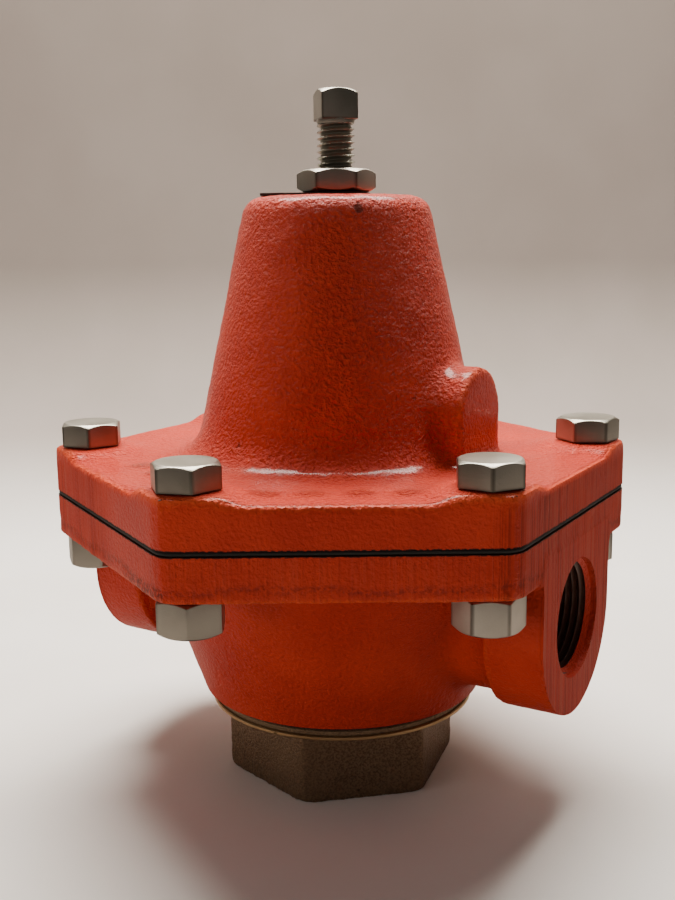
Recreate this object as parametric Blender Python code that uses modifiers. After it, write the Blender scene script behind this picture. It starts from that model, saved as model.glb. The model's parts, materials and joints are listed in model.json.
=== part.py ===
"""A spring-loaded, diaphragm-operated pressure reducing valve for pipework.

Metres, +Z up. The origin is the centre of the hexagon plug's underside, +Z runs up the spring
axis to the adjusting screw, and +X is the outlet port. Run it in Blender 4.5.
"""

import math

import bmesh
import bpy
from mathutils import Matrix, Vector

MM = 0.001
INCH = 25.4 * MM

# ---------------------------------------------------------------- clearances
touch_gap = 0.25 * MM        # between faces that rest on each other
clamp_gap = 0.2 * MM         # each side of the thin diaphragm
thread_gap = 0.35 * MM       # radial, between a plain screw and its hole
slide_gap = 0.6 * MM         # radial, around a piece that slides

# ---------------------------------------------------------------- modelling allowances
cut_over = 1.0 * MM          # how far a cutter runs past the face it opens
join_depth = 2.0 * MM        # how far one joined shape runs into the next
merge_distance = 0.001 * MM  # points this near each other are one point

# ---------------------------------------------------------------- bottom plug
plug_across_flats = 2.125 * INCH
plug_hex_height = 19.5 * MM
plug_turn = math.radians(11.2)       # how far the plug was screwed round
plug_edge_chamfer = 1.2 * MM
collar_radius = 35.1 * MM
collar_thickness = 2.4 * MM
plug_gasket_thickness = 1.1 * MM
spigot_radius = 26.5 * MM
spigot_length = 9.0 * MM
gasket_setback = 0.4 * MM            # the gasket's edge behind the collar's
plug_floor = 8.0 * MM
piston_bore_radius = 17.2 * MM

# ---------------------------------------------------------------- valve body
body_base_radius = 37.0 * MM
body_taper = math.radians(19.5)
flange_across_flats = 131.5 * MM
flange_corner_radius = 5.0 * MM
flange_corner_segments = 5
body_height = 51.35 * MM             # from the gasket face to the diaphragm face
body_flange_thickness = 10.5 * MM
base_chamfer = 1.0 * MM              # round the face that the plug's gasket seals on
chamber_radius = 46.0 * MM           # open part of the diaphragm
chamber_depth = 8.2 * MM
partition_height = 23.5 * MM         # underside of the partition above the body's base
partition_thickness = 8.0 * MM
cavity_radius = 30.0 * MM

# ---------------------------------------------------------------- ports
port_height = 26.5 * MM              # port axis above the body's base
port_bore_radius = 12.4 * MM
port_mouth_radius = 14.6 * MM
port_mouth_depth = 3.2 * MM
port_depth = 28.0 * MM
port_boss_radius = 23.6 * MM
port_boss_length = 15.0 * MM
port_neck_radius = 20.6 * MM
port_land = 0.3 * MM                 # how far a port's face stands past the flange's flat
port_neck_root = 3.0 * MM            # the neck starts this far outside the cavities
window_radius = 7.4 * MM
window_inward = 8.0 * MM             # how far a window's cutter reaches into its cavity
window_outward = 7.0 * MM            # and into the end of the port's bore
window_step = 0.4 * MM               # between a window and the partition's face

# ---------------------------------------------------------------- spring chamber
cover_flange_thickness = 9.7 * MM
bolt_pad_height = 1.9 * MM
bolt_pad_radius = 10.8 * MM
relief_over = 5.0 * MM               # how far the relief's cutter stands above the pads
cover_height = 74.95 * MM            # from the diaphragm face to the cone's top
cone_top_radius = 23.1 * MM          # where the cone's side would meet its top face
cone_taper = math.radians(12.55)
cone_shoulder_radius = 5.0 * MM
cone_flare_radius = 9.0 * MM
cone_wall = 5.6 * MM
cone_roof = 10.0 * MM
roof_chamfer = 2.0 * MM
cover_recess_depth = 4.4 * MM
vent_boss_face = 40.5 * MM           # distance of the blank pad from the spring axis
vent_boss_radius = 12.3 * MM
vent_boss_height = 20.9 * MM         # the arch's centre above the diaphragm face
vent_hole_radius = 1.6 * MM
vent_hole_height = 26.0 * MM

# ---------------------------------------------------------------- diaphragm stack
diaphragm_thickness = 0.9 * MM
diaphragm_setback = 0.3 * MM         # the diaphragm's edge behind the flanges'
plate_radius = 36.0 * MM
plate_thickness = 2.8 * MM
plate_ring_radius = 20.6 * MM
plate_ring_height = 2.6 * MM
plate_ring_wall = 1.6 * MM
plate_rim_chamfer = 1.2 * MM
stud_radius = 5.6 * MM
stud_chamfer = 0.8 * MM
stud_stands_out = 1.5 * MM           # above the diaphragm nut
diaphragm_nut_flats = 19.05 * MM
diaphragm_nut_height = 7.0 * MM
pusher_plate_radius = 22.0 * MM
pusher_plate_thickness = 2.5 * MM
pusher_hub_radius = 8.0 * MM
pusher_hub_length = 11.0 * MM
pusher_hub_chamfer = 2.0 * MM
stem_radius = 3.0 * MM
stem_stands_out = 0.6 * MM           # below the disc nut

# ---------------------------------------------------------------- seat and piston
seat_bore_radius = 9.0 * MM
seat_body_radius = 13.5 * MM
seat_lip_radius = 10.6 * MM
seat_lip_drop = 3.4 * MM             # how far the lip hangs below the partition
seat_lip_taper = 0.8 * MM
seat_setback = 0.5 * MM              # the sleeve's top below the partition's
seat_flange_radius = 16.0 * MM
seat_flange_thickness = 2.2 * MM
disc_radius = 12.2 * MM
disc_thickness = 3.6 * MM
disc_stands_out = 0.7 * MM
piston_height = 12.5 * MM
piston_web = 3.0 * MM
piston_cup_wall = 3.4 * MM
piston_rim_wall = 3.4 * MM
disc_nut_flats = 9.6 * MM
disc_nut_height = 3.2 * MM

# ---------------------------------------------------------------- springs
range_spring_radius = 14.6 * MM
range_spring_wire = 4.2 * MM
range_spring_turns = 5.5
piston_spring_radius = 9.6 * MM
piston_spring_wire = 1.6 * MM
piston_spring_turns = 6.5
points_per_turn = 10
end_turn_ease = 0.45                 # 0 is an even pitch, and 1 has flat closed end turns

# ---------------------------------------------------------------- adjusting screw
screw_radius = 0.1875 * INCH
screw_head_width = 9.4 * MM
screw_head_height = 7.5 * MM
screw_head_turn = math.radians(45)
screw_exposed = 12.1 * MM            # plain length between the lock nut and the head
screw_tip_length = 3.0 * MM
screw_cone_radius = 2.6 * MM         # where the tip's cone meets its rounded point
screw_point_height = 0.7 * MM
screw_point_radius = 0.95 * MM
lock_nut_flats = 0.6875 * INCH
lock_nut_height = 5.5 * MM
lock_nut_turn = math.radians(0.5)
tag_thickness = 0.6 * MM
tag_round_radius = 8.6 * MM
tag_reach = 19.0 * MM
tag_width = 13.0 * MM
tag_direction = math.radians(210.0)
button_radius = 17.4 * MM
button_thickness = 3.6 * MM
button_hub_radius = 8.0 * MM
button_hub_height = 4.2 * MM
button_dimple_depth = 1.6 * MM
button_dimple_floor = 1.4 * MM
button_dimple_radius = 4.3 * MM
button_edge = 0.8 * MM
button_pilot_depth = 2.0 * MM        # the boss that centres the spring's top turn
button_pilot_taper = 1.0 * MM
screw_reach = 15.0 * MM              # how far the screw's tip hangs below the cone's top

# ---------------------------------------------------------------- flange bolts
bolt_count = 6
bolt_from_corner = 10.52 * MM        # bolt axis to the point where the flange's flats would meet
bolt_first_angle = math.radians(30.0)
bolt_radius = 0.1875 * INCH
bolt_clearance = 0.64 * MM           # radial, between a bolt and its hole
nut_clearance = 0.5 * MM             # radial, round a nut's corners where the body is cut back
spanner_room = 3.0 * MM              # below a nut
head_face_share = 0.95               # flat round face of a head, as a share of its flats
head_chamfer_angle = math.radians(30)
bolt_length = 1.25 * INCH
bolt_point_chamfer = 0.8 * MM
bolt_head_flats = 0.5625 * INCH
bolt_head_height = 0.234 * INCH
nut_flats = 0.5625 * INCH
nut_height = 0.328 * INCH
bolt_turns = [math.radians(angle) for angle in (54.5, 12, 20, 36.5, 46.5, 26.5)]
nut_turns = [math.radians(angle) for angle in (20, 8, 33, 50, 31.5, 56.5)]

round_steps = 36                     # facets round a large turned piece
inner_steps = 24                     # facets round a turned piece inside the valve
small_steps = 16                     # facets round a bolt, a nut or a stem

# ---------------------------------------------------------------- levels along the spring axis
collar_top = plug_hex_height + collar_thickness
plug_gasket_bottom = collar_top + touch_gap
body_base = plug_gasket_bottom + plug_gasket_thickness + touch_gap
body_top = body_base + body_height
body_flange_bottom = body_top - body_flange_thickness
diaphragm_bottom = body_top + clamp_gap
diaphragm_top = diaphragm_bottom + diaphragm_thickness
cover_base = diaphragm_top + clamp_gap
cover_flange_top = cover_base + cover_flange_thickness
bolt_seat = cover_flange_top + bolt_pad_height
cone_top = cover_base + cover_height
cone_base_radius = cone_top_radius + (cone_top - cover_flange_top) * math.tan(cone_taper)
partition_bottom = body_base + partition_height
partition_top = partition_bottom + partition_thickness
chamber_floor = body_top - chamber_depth
port_z = body_base + port_height
port_face = flange_across_flats / 2 + port_land
plate_bottom = diaphragm_top + touch_gap
plate_top = plate_bottom + plate_thickness
pusher_top = diaphragm_bottom - touch_gap
seat_lip_z = partition_bottom - seat_lip_drop
disc_top = seat_lip_z - touch_gap
disc_bottom = disc_top - disc_thickness
piston_top = disc_top - disc_stands_out
piston_floor = disc_bottom - touch_gap
web_bottom = piston_floor - piston_web
piston_bottom = piston_top - piston_height
bolt_circle_radius = flange_across_flats / 2 / math.cos(math.pi / 6) - bolt_from_corner
bolt_hole_radius = bolt_radius + bolt_clearance
nut_relief_radius = nut_flats / 2 / math.cos(math.pi / 6) + nut_clearance
tag_bottom = cone_top + touch_gap
lock_nut_bottom = tag_bottom + tag_thickness + touch_gap
lock_nut_top = lock_nut_bottom + lock_nut_height
screw_head_bottom = lock_nut_top + screw_exposed
screw_tip = cone_top - screw_reach
button_bottom = screw_tip + button_dimple_depth - touch_gap - button_hub_height - button_thickness

# ---------------------------------------------------------------- collections
for old in list(bpy.data.objects):
    bpy.data.objects.remove(old, do_unlink=True)

parts = bpy.data.collections.new("pressure_reducing_valve")
cutters = bpy.data.collections.new("cutters")
bpy.context.scene.collection.children.link(parts)
bpy.context.scene.collection.children.link(cutters)
cutters.hide_render = True


def material(name, colour, roughness, metallic):
    """A Principled material with one colour."""
    made = bpy.data.materials.new(name)
    made.use_nodes = True
    shader = made.node_tree.nodes["Principled BSDF"]
    shader.inputs["Base Color"].default_value = (*colour, 1.0)
    shader.inputs["Roughness"].default_value = roughness
    shader.inputs["Metallic"].default_value = metallic
    made.diffuse_color = (*colour, 1.0)
    return made


red_paint = material("red_paint", (0.62, 0.055, 0.022), 0.38, 0.0)
zinc_plate = material("zinc_plate", (0.55, 0.56, 0.55), 0.32, 1.0)
cast_bronze = material("cast_bronze", (0.20, 0.13, 0.075), 0.6, 0.6)
brass = material("brass", (0.72, 0.52, 0.22), 0.3, 1.0)
spring_steel = material("spring_steel", (0.35, 0.35, 0.36), 0.35, 1.0)
black_rubber = material("black_rubber", (0.02, 0.02, 0.02), 0.7, 0.0)
gasket_fibre = material("gasket_fibre", (0.10, 0.035, 0.025), 0.8, 0.0)
tag_metal = material("tag_metal", (0.03, 0.03, 0.03), 0.5, 0.4)


def put(name, mesh, finish=None):
    """A new object: a part when it has a finish, and otherwise a hidden cutter."""
    made = bpy.data.objects.new(name, mesh)
    if finish is None:
        cutters.objects.link(made)
        made.hide_render = True
        made.display_type = "WIRE"
    else:
        parts.objects.link(made)
        mesh.materials.append(finish)
    return made


def turned(name, outline, finish=None, steps=round_steps):
    """A turned piece from (radius, height) points that run down its outer side."""
    mesh = bpy.data.meshes.new(name)
    points = [(radius, 0.0, height) for radius, height in outline]
    edges = [(index, index + 1) for index in range(len(points) - 1)]
    if outline[0][0] > 0:
        edges.append((len(points) - 1, 0))
    mesh.from_pydata(points, edges, [])
    made = put(name, mesh, finish)
    screw = made.modifiers.new("turn", "SCREW")
    screw.steps = screw.render_steps = steps
    screw.use_merge_vertices = True
    screw.merge_threshold = merge_distance
    screw.use_smooth_shade = True
    return made


def rod(name, radius, bottom, top, finish=None, steps=small_steps):
    """A plain upright cylinder."""
    return turned(name, [(0, top), (radius, top), (radius, bottom), (0, bottom)], finish, steps)


def arc(centre, radius, start_degrees, end_degrees, steps=6):
    """Points of an arc in the (radius, height) plane."""
    points = []
    for step in range(steps + 1):
        angle = math.radians(start_degrees + (end_degrees - start_degrees) * step / steps)
        points.append((centre[0] + radius * math.cos(angle), centre[1] + radius * math.sin(angle)))
    return points


def prism(name, flats, bottom, top, finish=None, sides=6, turn=0.0, corner_radius=0.0):
    """A regular prism, with a flat facing +X when turn is 0 and rounded upright edges if asked."""
    shape = bmesh.new()
    bmesh.ops.create_cone(
        shape, cap_ends=True, segments=sides, depth=top - bottom,
        radius1=flats / 2 / math.cos(math.pi / sides),
        radius2=flats / 2 / math.cos(math.pi / sides))
    corner = next(vert.co for vert in shape.verts)
    to_flat = math.pi / sides - math.atan2(corner.y, corner.x)
    shape.transform(Matrix.Rotation(to_flat + turn, 4, "Z"))
    if corner_radius > 0:
        upright = [edge for edge in shape.edges
                   if abs(edge.verts[0].co.z - edge.verts[1].co.z) > (top - bottom) / 2]
        bmesh.ops.bevel(shape, geom=upright, affect="EDGES", offset_type="OFFSET",
                        offset=corner_radius * math.tan(math.pi / sides),
                        segments=flange_corner_segments, profile=0.5)
    shape.transform(Matrix.Translation((0, 0, (top + bottom) / 2)))
    mesh = bpy.data.meshes.new(name)
    shape.to_mesh(mesh)
    shape.free()
    return put(name, mesh, finish)


def block(name, low, high, finish=None):
    """A box between two corners."""
    shape = bmesh.new()
    bmesh.ops.create_cube(shape, size=1.0)
    size = Vector(high) - Vector(low)
    shape.transform(Matrix.Diagonal((*size, 1.0)))
    shape.transform(Matrix.Translation((Vector(high) + Vector(low)) / 2))
    mesh = bpy.data.meshes.new(name)
    shape.to_mesh(mesh)
    shape.free()
    return put(name, mesh, finish)


def arch(name, radius, spring_line, straight_end, near, far):
    """A U-shaped block along X: a half-round end about (0, spring_line) and a straight end."""
    outline = bpy.data.curves.new(name, "CURVE")
    outline.dimensions = "2D"
    outline.fill_mode = "BOTH"
    outline.extrude = abs(far - near) / 2
    away = math.copysign(1.0, spring_line - straight_end)
    points = [(radius, straight_end - spring_line)]
    for step in range(round_steps // 2 + 1):
        angle = math.pi * step / (round_steps // 2)
        points.append((radius * math.cos(angle), away * radius * math.sin(angle)))
    points.append((-radius, straight_end - spring_line))
    spline = outline.splines.new("POLY")
    spline.points.add(len(points) - 1)
    for point, (across, up) in zip(spline.points, points):
        point.co = (across, up, 0, 1)
    spline.use_cyclic_u = True
    drawn = bpy.data.objects.new(name, outline)
    cutters.objects.link(drawn)
    graph = bpy.context.evaluated_depsgraph_get()
    mesh = bpy.data.meshes.new_from_object(drawn.evaluated_get(graph))
    bpy.data.objects.remove(drawn)
    shape = bmesh.new()
    shape.from_mesh(mesh)
    bmesh.ops.remove_doubles(shape, verts=shape.verts, dist=merge_distance)
    # The outline's own X, Y and Z become the valve's Y, Z and X.
    shape.transform(Matrix(((0, 0, 1, (near + far) / 2), (1, 0, 0, 0), (0, 1, 0, spring_line),
                            (0, 0, 0, 1))))
    bmesh.ops.recalc_face_normals(shape, faces=shape.faces)
    shape.to_mesh(mesh)
    shape.free()
    return put(name, mesh)


def combine(target, other, operation):
    """An exact Boolean on the target, which keeps the other as a hidden helper."""
    step = target.modifiers.new(operation.lower() + "_" + other.name, "BOOLEAN")
    step.operation = operation
    step.object = other
    step.solver = "EXACT"


def cut(target, *others):
    for other in others:
        combine(target, other, "DIFFERENCE")


def join(target, *others):
    for other in others:
        combine(target, other, "UNION")


def along_x(made, height, side):
    """Lays an upright piece along +X or -X at a height, with its foot on the spring axis."""
    made.matrix_world = Matrix.Translation((0, 0, height)) @ Matrix.Rotation(side * math.pi / 2, 4, "Y")
    return made


def coil(name, radius, wire, bottom, top, turns, finish):
    """A wound spring that stands between two levels."""
    path = bpy.data.curves.new(name, "CURVE")
    path.dimensions = "3D"
    path.bevel_depth = wire / 2
    path.bevel_resolution = 2
    path.use_fill_caps = True
    spline = path.splines.new("POLY")
    count = int(turns * points_per_turn) + 1
    spline.points.add(count - 1)
    low = bottom + wire / 2
    rise = top - bottom - wire
    for index, point in enumerate(spline.points):
        share = index / (count - 1)
        angle = 2 * math.pi * turns * share
        # The end turns lie closed, so the rise eases in and out.
        height = low + rise * (share - math.sin(2 * math.pi * share) / (2 * math.pi) * end_turn_ease)
        point.co = (radius * math.cos(angle), radius * math.sin(angle), height, 1.0)
    made = bpy.data.objects.new(name, path)
    parts.objects.link(made)
    path.materials.append(finish)
    return made


def axis_empty(name, height):
    """An empty on the spring axis, which carries a moving group."""
    made = bpy.data.objects.new(name, None)
    made.location = (0, 0, height)
    parts.objects.link(made)
    return made


def carry(empty, *pieces):
    """Parents pieces to an empty and leaves them where they are."""
    for piece in pieces:
        piece.parent = empty
        piece.matrix_parent_inverse = Matrix.Translation(empty.location).inverted()


def bolt_places():
    """The angle and centre of each flange bolt."""
    for index in range(bolt_count):
        angle = bolt_first_angle + index * 2 * math.pi / bolt_count
        yield index, Vector((bolt_circle_radius * math.cos(angle),
                             bolt_circle_radius * math.sin(angle), 0))


def bolt_axis_cutter(name, radius, bottom, top):
    """Six plain rods on the bolt circle, as one cutter."""
    shape = bmesh.new()
    for _, centre in bolt_places():
        made = bmesh.ops.create_cone(
            shape, cap_ends=True, segments=small_steps, depth=top - bottom,
            radius1=radius, radius2=radius)
        bmesh.ops.translate(shape, verts=made["verts"],
                            vec=centre + Vector((0, 0, (top + bottom) / 2)))
    mesh = bpy.data.meshes.new(name)
    shape.to_mesh(mesh)
    shape.free()
    return put(name, mesh)


def chamfered_prism(name, flats, bottom, top, turn, finish, both_ends=False, sides=6):
    """A prism whose corners are turned off at 30 degrees, as on a screw head or a nut."""
    made = prism(name, flats, bottom, top, finish, sides, turn)
    corner = flats / 2 / math.cos(math.pi / sides)
    flat_face = flats / 2 * head_face_share
    reach = corner + cut_over
    drop = (reach - flat_face) * math.tan(head_chamfer_angle)
    low_face = flat_face if both_ends else reach
    low_rise = drop if both_ends else 0.0
    spare = 0.0 if both_ends else drop
    envelope = turned(name + "_chamfer", [
        (0, top), (flat_face, top), (reach, top - drop),
        (reach, bottom - spare + low_rise), (low_face, bottom - spare), (0, bottom - spare)],
        steps=small_steps)
    combine(made, envelope, "INTERSECT")
    return made


# ---------------------------------------------------------------- bottom plug and its gasket
def bottom_plug():
    made = prism("bottom_plug", plug_across_flats, 0.0, plug_hex_height + collar_thickness / 2,
                 cast_bronze, turn=plug_turn)
    corner = plug_across_flats / 2 / math.cos(math.pi / 6)
    envelope = turned("plug_chamfer", [
        (0, collar_top), (corner + cut_over, collar_top), (corner + cut_over, plug_edge_chamfer),
        (corner - plug_edge_chamfer, 0), (0, 0)])
    combine(made, envelope, "INTERSECT")
    spigot_top = collar_top + spigot_length
    join(made, turned("plug_collar", [
        (0, spigot_top), (spigot_radius, spigot_top), (spigot_radius, collar_top),
        (collar_radius, collar_top), (collar_radius, plug_hex_height), (0, plug_hex_height)]))
    cut(made, rod("piston_bore", piston_bore_radius, plug_floor, spigot_top + cut_over,
                  steps=round_steps))
    return made


def plug_gasket():
    outer = collar_radius - gasket_setback
    inner = spigot_radius + slide_gap
    top = plug_gasket_bottom + plug_gasket_thickness
    return turned("plug_gasket", [(outer, top), (outer, plug_gasket_bottom),
                                  (inner, plug_gasket_bottom), (inner, top)], gasket_fibre)


# ---------------------------------------------------------------- valve body
def body_inside():
    """The turned hollows: diaphragm chamber, upper cavity, seat hole and lower cavity."""
    upper = turned("upper_cavity", [
        (0, body_top + cut_over), (chamber_radius, body_top + cut_over), (chamber_radius, chamber_floor),
        (cavity_radius, chamber_floor), (cavity_radius, partition_top), (0, partition_top)])
    lower = turned("lower_cavity", [
        (0, partition_bottom), (cavity_radius, partition_bottom),
        (cavity_radius, body_base + spigot_length), (spigot_radius + thread_gap, body_base + spigot_length),
        (spigot_radius + thread_gap, body_base - cut_over), (0, body_base - cut_over)])
    seat = rod("seat_hole", seat_body_radius + thread_gap, partition_bottom - cut_over,
               partition_top + cut_over, steps=round_steps)
    return upper, lower, seat


def port_solid(side, name):
    """The collar of one port with the thinner neck behind it, up to the flange."""
    back = port_face - port_boss_length
    top = body_flange_bottom + join_depth
    collar = arch(f"{name}_collar", port_boss_radius, port_z, top, side * back, side * port_face)
    neck = arch(f"{name}_neck", port_neck_radius, port_z, top + cut_over,
                side * (cavity_radius + port_neck_root), side * (back + cut_over))
    return collar, neck


def port_hole(side, name, window_z):
    """The stepped port bore and the window that leads it to its own cavity."""
    bore = along_x(turned(f"{name}_bore", [
        (0, port_face + cut_over), (port_mouth_radius, port_face + cut_over),
        (port_mouth_radius, port_face - port_mouth_depth),
        (port_bore_radius, port_face - port_mouth_depth - (port_mouth_radius - port_bore_radius)),
        (port_bore_radius, port_face - port_depth), (0, port_face - port_depth)]), port_z, side)
    window = along_x(rod(f"{name}_window", window_radius, cavity_radius - window_inward,
                         port_face - port_depth + window_outward), window_z, side)
    return bore, window


def valve_body():
    top_radius = body_base_radius + (body_flange_bottom - body_base) * math.tan(body_taper)
    under_flange = body_flange_bottom + join_depth
    made = turned("valve_body", [
        (0, under_flange), (top_radius, under_flange), (top_radius, body_flange_bottom),
        (body_base_radius, body_base + base_chamfer), (body_base_radius - base_chamfer, body_base),
        (0, body_base)],
        red_paint)
    for side, name in ((1, "outlet"), (-1, "inlet")):
        join(made, *port_solid(side, name))
    # A nut that would meet the bowl or a port gets room. At these sizes none does.
    nut_room_bottom = body_flange_bottom - touch_gap - nut_height - spanner_room
    cut(made, bolt_axis_cutter("nut_room", nut_relief_radius, nut_room_bottom, under_flange + cut_over))
    join(made, prism("body_flange", flange_across_flats, body_flange_bottom, body_top,
                     corner_radius=flange_corner_radius))
    cut(made, *body_inside())
    cut(made, *port_hole(1, "outlet", partition_top + window_radius + window_step))
    cut(made, *port_hole(-1, "inlet", partition_bottom - window_radius - window_step))
    cut(made, bolt_axis_cutter("body_bolt_holes", bolt_hole_radius, body_flange_bottom - cut_over,
                               body_top + cut_over))
    return made


# ---------------------------------------------------------------- spring chamber
def cone_outline():
    """The cone's outer side, from its top down to the flange."""
    tilt = math.degrees(cone_taper)
    half = math.radians(90 - tilt) / 2
    shoulder = (cone_top_radius - cone_shoulder_radius * math.tan(half),
                cone_top - cone_shoulder_radius)
    flare = (cone_base_radius + cone_flare_radius * math.tan(half),
             cover_flange_top + cone_flare_radius)
    return ([(0, cone_top)] + arc(shoulder, cone_shoulder_radius, 90, tilt)
            + arc(flare, cone_flare_radius, 180 + tilt, 270)
            + [(flare[0], cover_base + join_depth), (0, cover_base + join_depth)])


def cone_inside():
    """The hollow that holds the range spring, open at the diaphragm."""
    roof = cone_top - cone_roof
    slope = math.tan(cone_taper)
    side = cone_wall / math.cos(cone_taper)
    top_radius = cone_top_radius + cone_roof * slope - side
    recess = cover_base + cover_recess_depth
    low_radius = cone_top_radius + (cone_top - recess) * slope - side
    return turned("spring_space", [
        (0, roof), (top_radius - roof_chamfer, roof), (top_radius, roof - roof_chamfer), (low_radius, recess),
        (chamber_radius, recess), (chamber_radius, cover_base - cut_over), (0, cover_base - cut_over)])


def flange_relief():
    """What is milled off the flange's top between the bolt pads."""
    reach = flange_across_flats
    made = rod("flange_relief", reach, cover_flange_top, bolt_seat + relief_over, steps=round_steps)
    for index, centre in bolt_places():
        pad = rod(f"bolt_pad_{index + 1}", bolt_pad_radius, cover_flange_top - join_depth,
                  bolt_seat + relief_over + join_depth)
        pad.location = centre
        cut(made, pad)
    return made


def spring_chamber():
    made = prism("spring_chamber", flange_across_flats, cover_base, bolt_seat, red_paint,
                 corner_radius=flange_corner_radius)
    cut(made, flange_relief())
    join(made, turned("cone", cone_outline()))
    arch_z = cover_base + vent_boss_height
    back = cone_top_radius
    join(made, arch("vent_boss", vent_boss_radius, arch_z, cover_flange_top - join_depth, back,
                    vent_boss_face))
    cut(made, cone_inside())
    cut(made, rod("screw_hole", screw_radius + thread_gap, cone_top - cone_roof - cut_over,
                  cone_top + cut_over))
    cut(made, along_x(rod("vent_hole", vent_hole_radius, cone_top_radius / 2,
                          cone_base_radius + cut_over),
                      cover_base + vent_hole_height, -1))
    cut(made, bolt_axis_cutter("cover_bolt_holes", bolt_hole_radius, cover_base - cut_over,
                               bolt_seat + cut_over))
    return made


# ---------------------------------------------------------------- diaphragm stack
def diaphragm():
    made = prism("diaphragm", flange_across_flats - 2 * diaphragm_setback, diaphragm_bottom, diaphragm_top,
                 black_rubber, corner_radius=flange_corner_radius)
    cut(made, bolt_axis_cutter("diaphragm_bolt_holes", bolt_hole_radius, diaphragm_bottom - cut_over,
                               diaphragm_top + cut_over))
    cut(made, rod("diaphragm_stud_hole", stud_radius + thread_gap, diaphragm_bottom - cut_over,
                  diaphragm_top + cut_over))
    return made


def pressure_plate():
    rim = plate_rim_chamfer
    ring_inner = plate_ring_radius - plate_ring_wall
    bore = stud_radius + thread_gap
    return turned("pressure_plate", [
        (plate_radius - rim, plate_top), (plate_radius, plate_top - rim), (plate_radius, plate_bottom),
        (bore, plate_bottom), (bore, plate_top), (ring_inner, plate_top),
        (ring_inner, plate_top + plate_ring_height), (plate_ring_radius, plate_top + plate_ring_height),
        (plate_ring_radius, plate_top)], zinc_plate, inner_steps)


def diaphragm_nut():
    bottom = plate_top + touch_gap
    made = chamfered_prism("diaphragm_nut", diaphragm_nut_flats, bottom,
                             bottom + diaphragm_nut_height, 0.0, zinc_plate)
    cut(made, rod("diaphragm_nut_hole", stud_radius + thread_gap, bottom - cut_over,
                  bottom + diaphragm_nut_height + cut_over))
    return made


def pusher_post():
    """The stem that carries the diaphragm's push down through the seat to the disc."""
    stud_top = plate_top + touch_gap + diaphragm_nut_height + stud_stands_out
    under_plate = pusher_top - pusher_plate_thickness
    hub_bottom = under_plate - pusher_hub_length
    stem_bottom = web_bottom - touch_gap - disc_nut_height - stem_stands_out
    return turned("pusher_post", [
        (0, stud_top), (stud_radius - stud_chamfer, stud_top), (stud_radius, stud_top - stud_chamfer),
        (stud_radius, pusher_top), (pusher_plate_radius, pusher_top),
        (pusher_plate_radius, under_plate), (pusher_hub_radius, under_plate),
        (pusher_hub_radius, hub_bottom), (stem_radius, hub_bottom - pusher_hub_chamfer),
        (stem_radius, stem_bottom), (0, stem_bottom)], brass, inner_steps)


# ---------------------------------------------------------------- seat and piston
def seat_ring():
    """The seat: a sleeve up through the partition, with a flange and a lip below it."""
    flange_top = partition_bottom - touch_gap
    flange_bottom = flange_top - seat_flange_thickness
    lip_land = seat_lip_radius - seat_lip_taper
    return turned("seat_ring", [
        (seat_body_radius, partition_top - seat_setback), (seat_body_radius, flange_top),
        (seat_flange_radius, flange_top), (seat_flange_radius, flange_bottom),
        (seat_lip_radius, flange_bottom), (lip_land, seat_lip_z), (seat_bore_radius, seat_lip_z),
        (seat_bore_radius, partition_top - seat_setback)], brass, inner_steps)


def piston():
    """The disc holder, which slides in the plug's bore over the piston spring."""
    outer = piston_bore_radius - slide_gap
    cup = outer - piston_cup_wall
    hole = stem_radius + thread_gap
    pocket = outer - piston_rim_wall
    return turned("piston", [
        (outer, piston_top), (outer, piston_bottom), (cup, piston_bottom), (cup, web_bottom),
        (hole, web_bottom), (hole, piston_floor), (pocket, piston_floor), (pocket, piston_top)], brass,
        inner_steps)


def seat_disc():
    hole = stem_radius + thread_gap
    return turned("seat_disc", [(disc_radius, disc_top), (disc_radius, disc_bottom),
                                (hole, disc_bottom), (hole, disc_top)], black_rubber, inner_steps)


def disc_nut():
    top = web_bottom - touch_gap
    made = chamfered_prism("disc_nut", disc_nut_flats, top - disc_nut_height, top, 0.0, brass,
                             both_ends=True)
    cut(made, rod("disc_nut_hole", stem_radius + thread_gap, top - disc_nut_height - cut_over,
                  top + cut_over))
    return made


# ---------------------------------------------------------------- adjusting screw group
def adjusting_screw():
    head_top = screw_head_bottom + screw_head_height
    made = turned("adjusting_screw", [
        (0, head_top - join_depth), (screw_radius, head_top - join_depth),
        (screw_radius, screw_tip + screw_tip_length),
        (screw_cone_radius, screw_tip + screw_point_height),
        (screw_point_radius, screw_tip), (0, screw_tip)], zinc_plate, small_steps)
    join(made, chamfered_prism("screw_head", screw_head_width, screw_head_bottom, head_top,
                               screw_head_turn, None, sides=4))
    return made


def lock_nut():
    made = chamfered_prism("lock_nut", lock_nut_flats, lock_nut_bottom, lock_nut_top,
                             lock_nut_turn, zinc_plate, both_ends=True)
    cut(made, rod("lock_nut_hole", screw_radius + thread_gap, lock_nut_bottom - cut_over,
                  lock_nut_top + cut_over))
    return made


def name_tag():
    """The thin plate held under the lock nut: a round eye with one straight tongue."""
    top = tag_bottom + tag_thickness
    made = rod("name_tag", tag_round_radius, tag_bottom, top, tag_metal)
    tongue = block("tag_tongue", (0, -tag_width / 2, tag_bottom), (tag_reach, tag_width / 2, top))
    tongue.rotation_euler.z = tag_direction
    join(made, tongue)
    cut(made, rod("tag_hole", screw_radius + thread_gap, tag_bottom - cut_over, top + cut_over))
    return made


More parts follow.
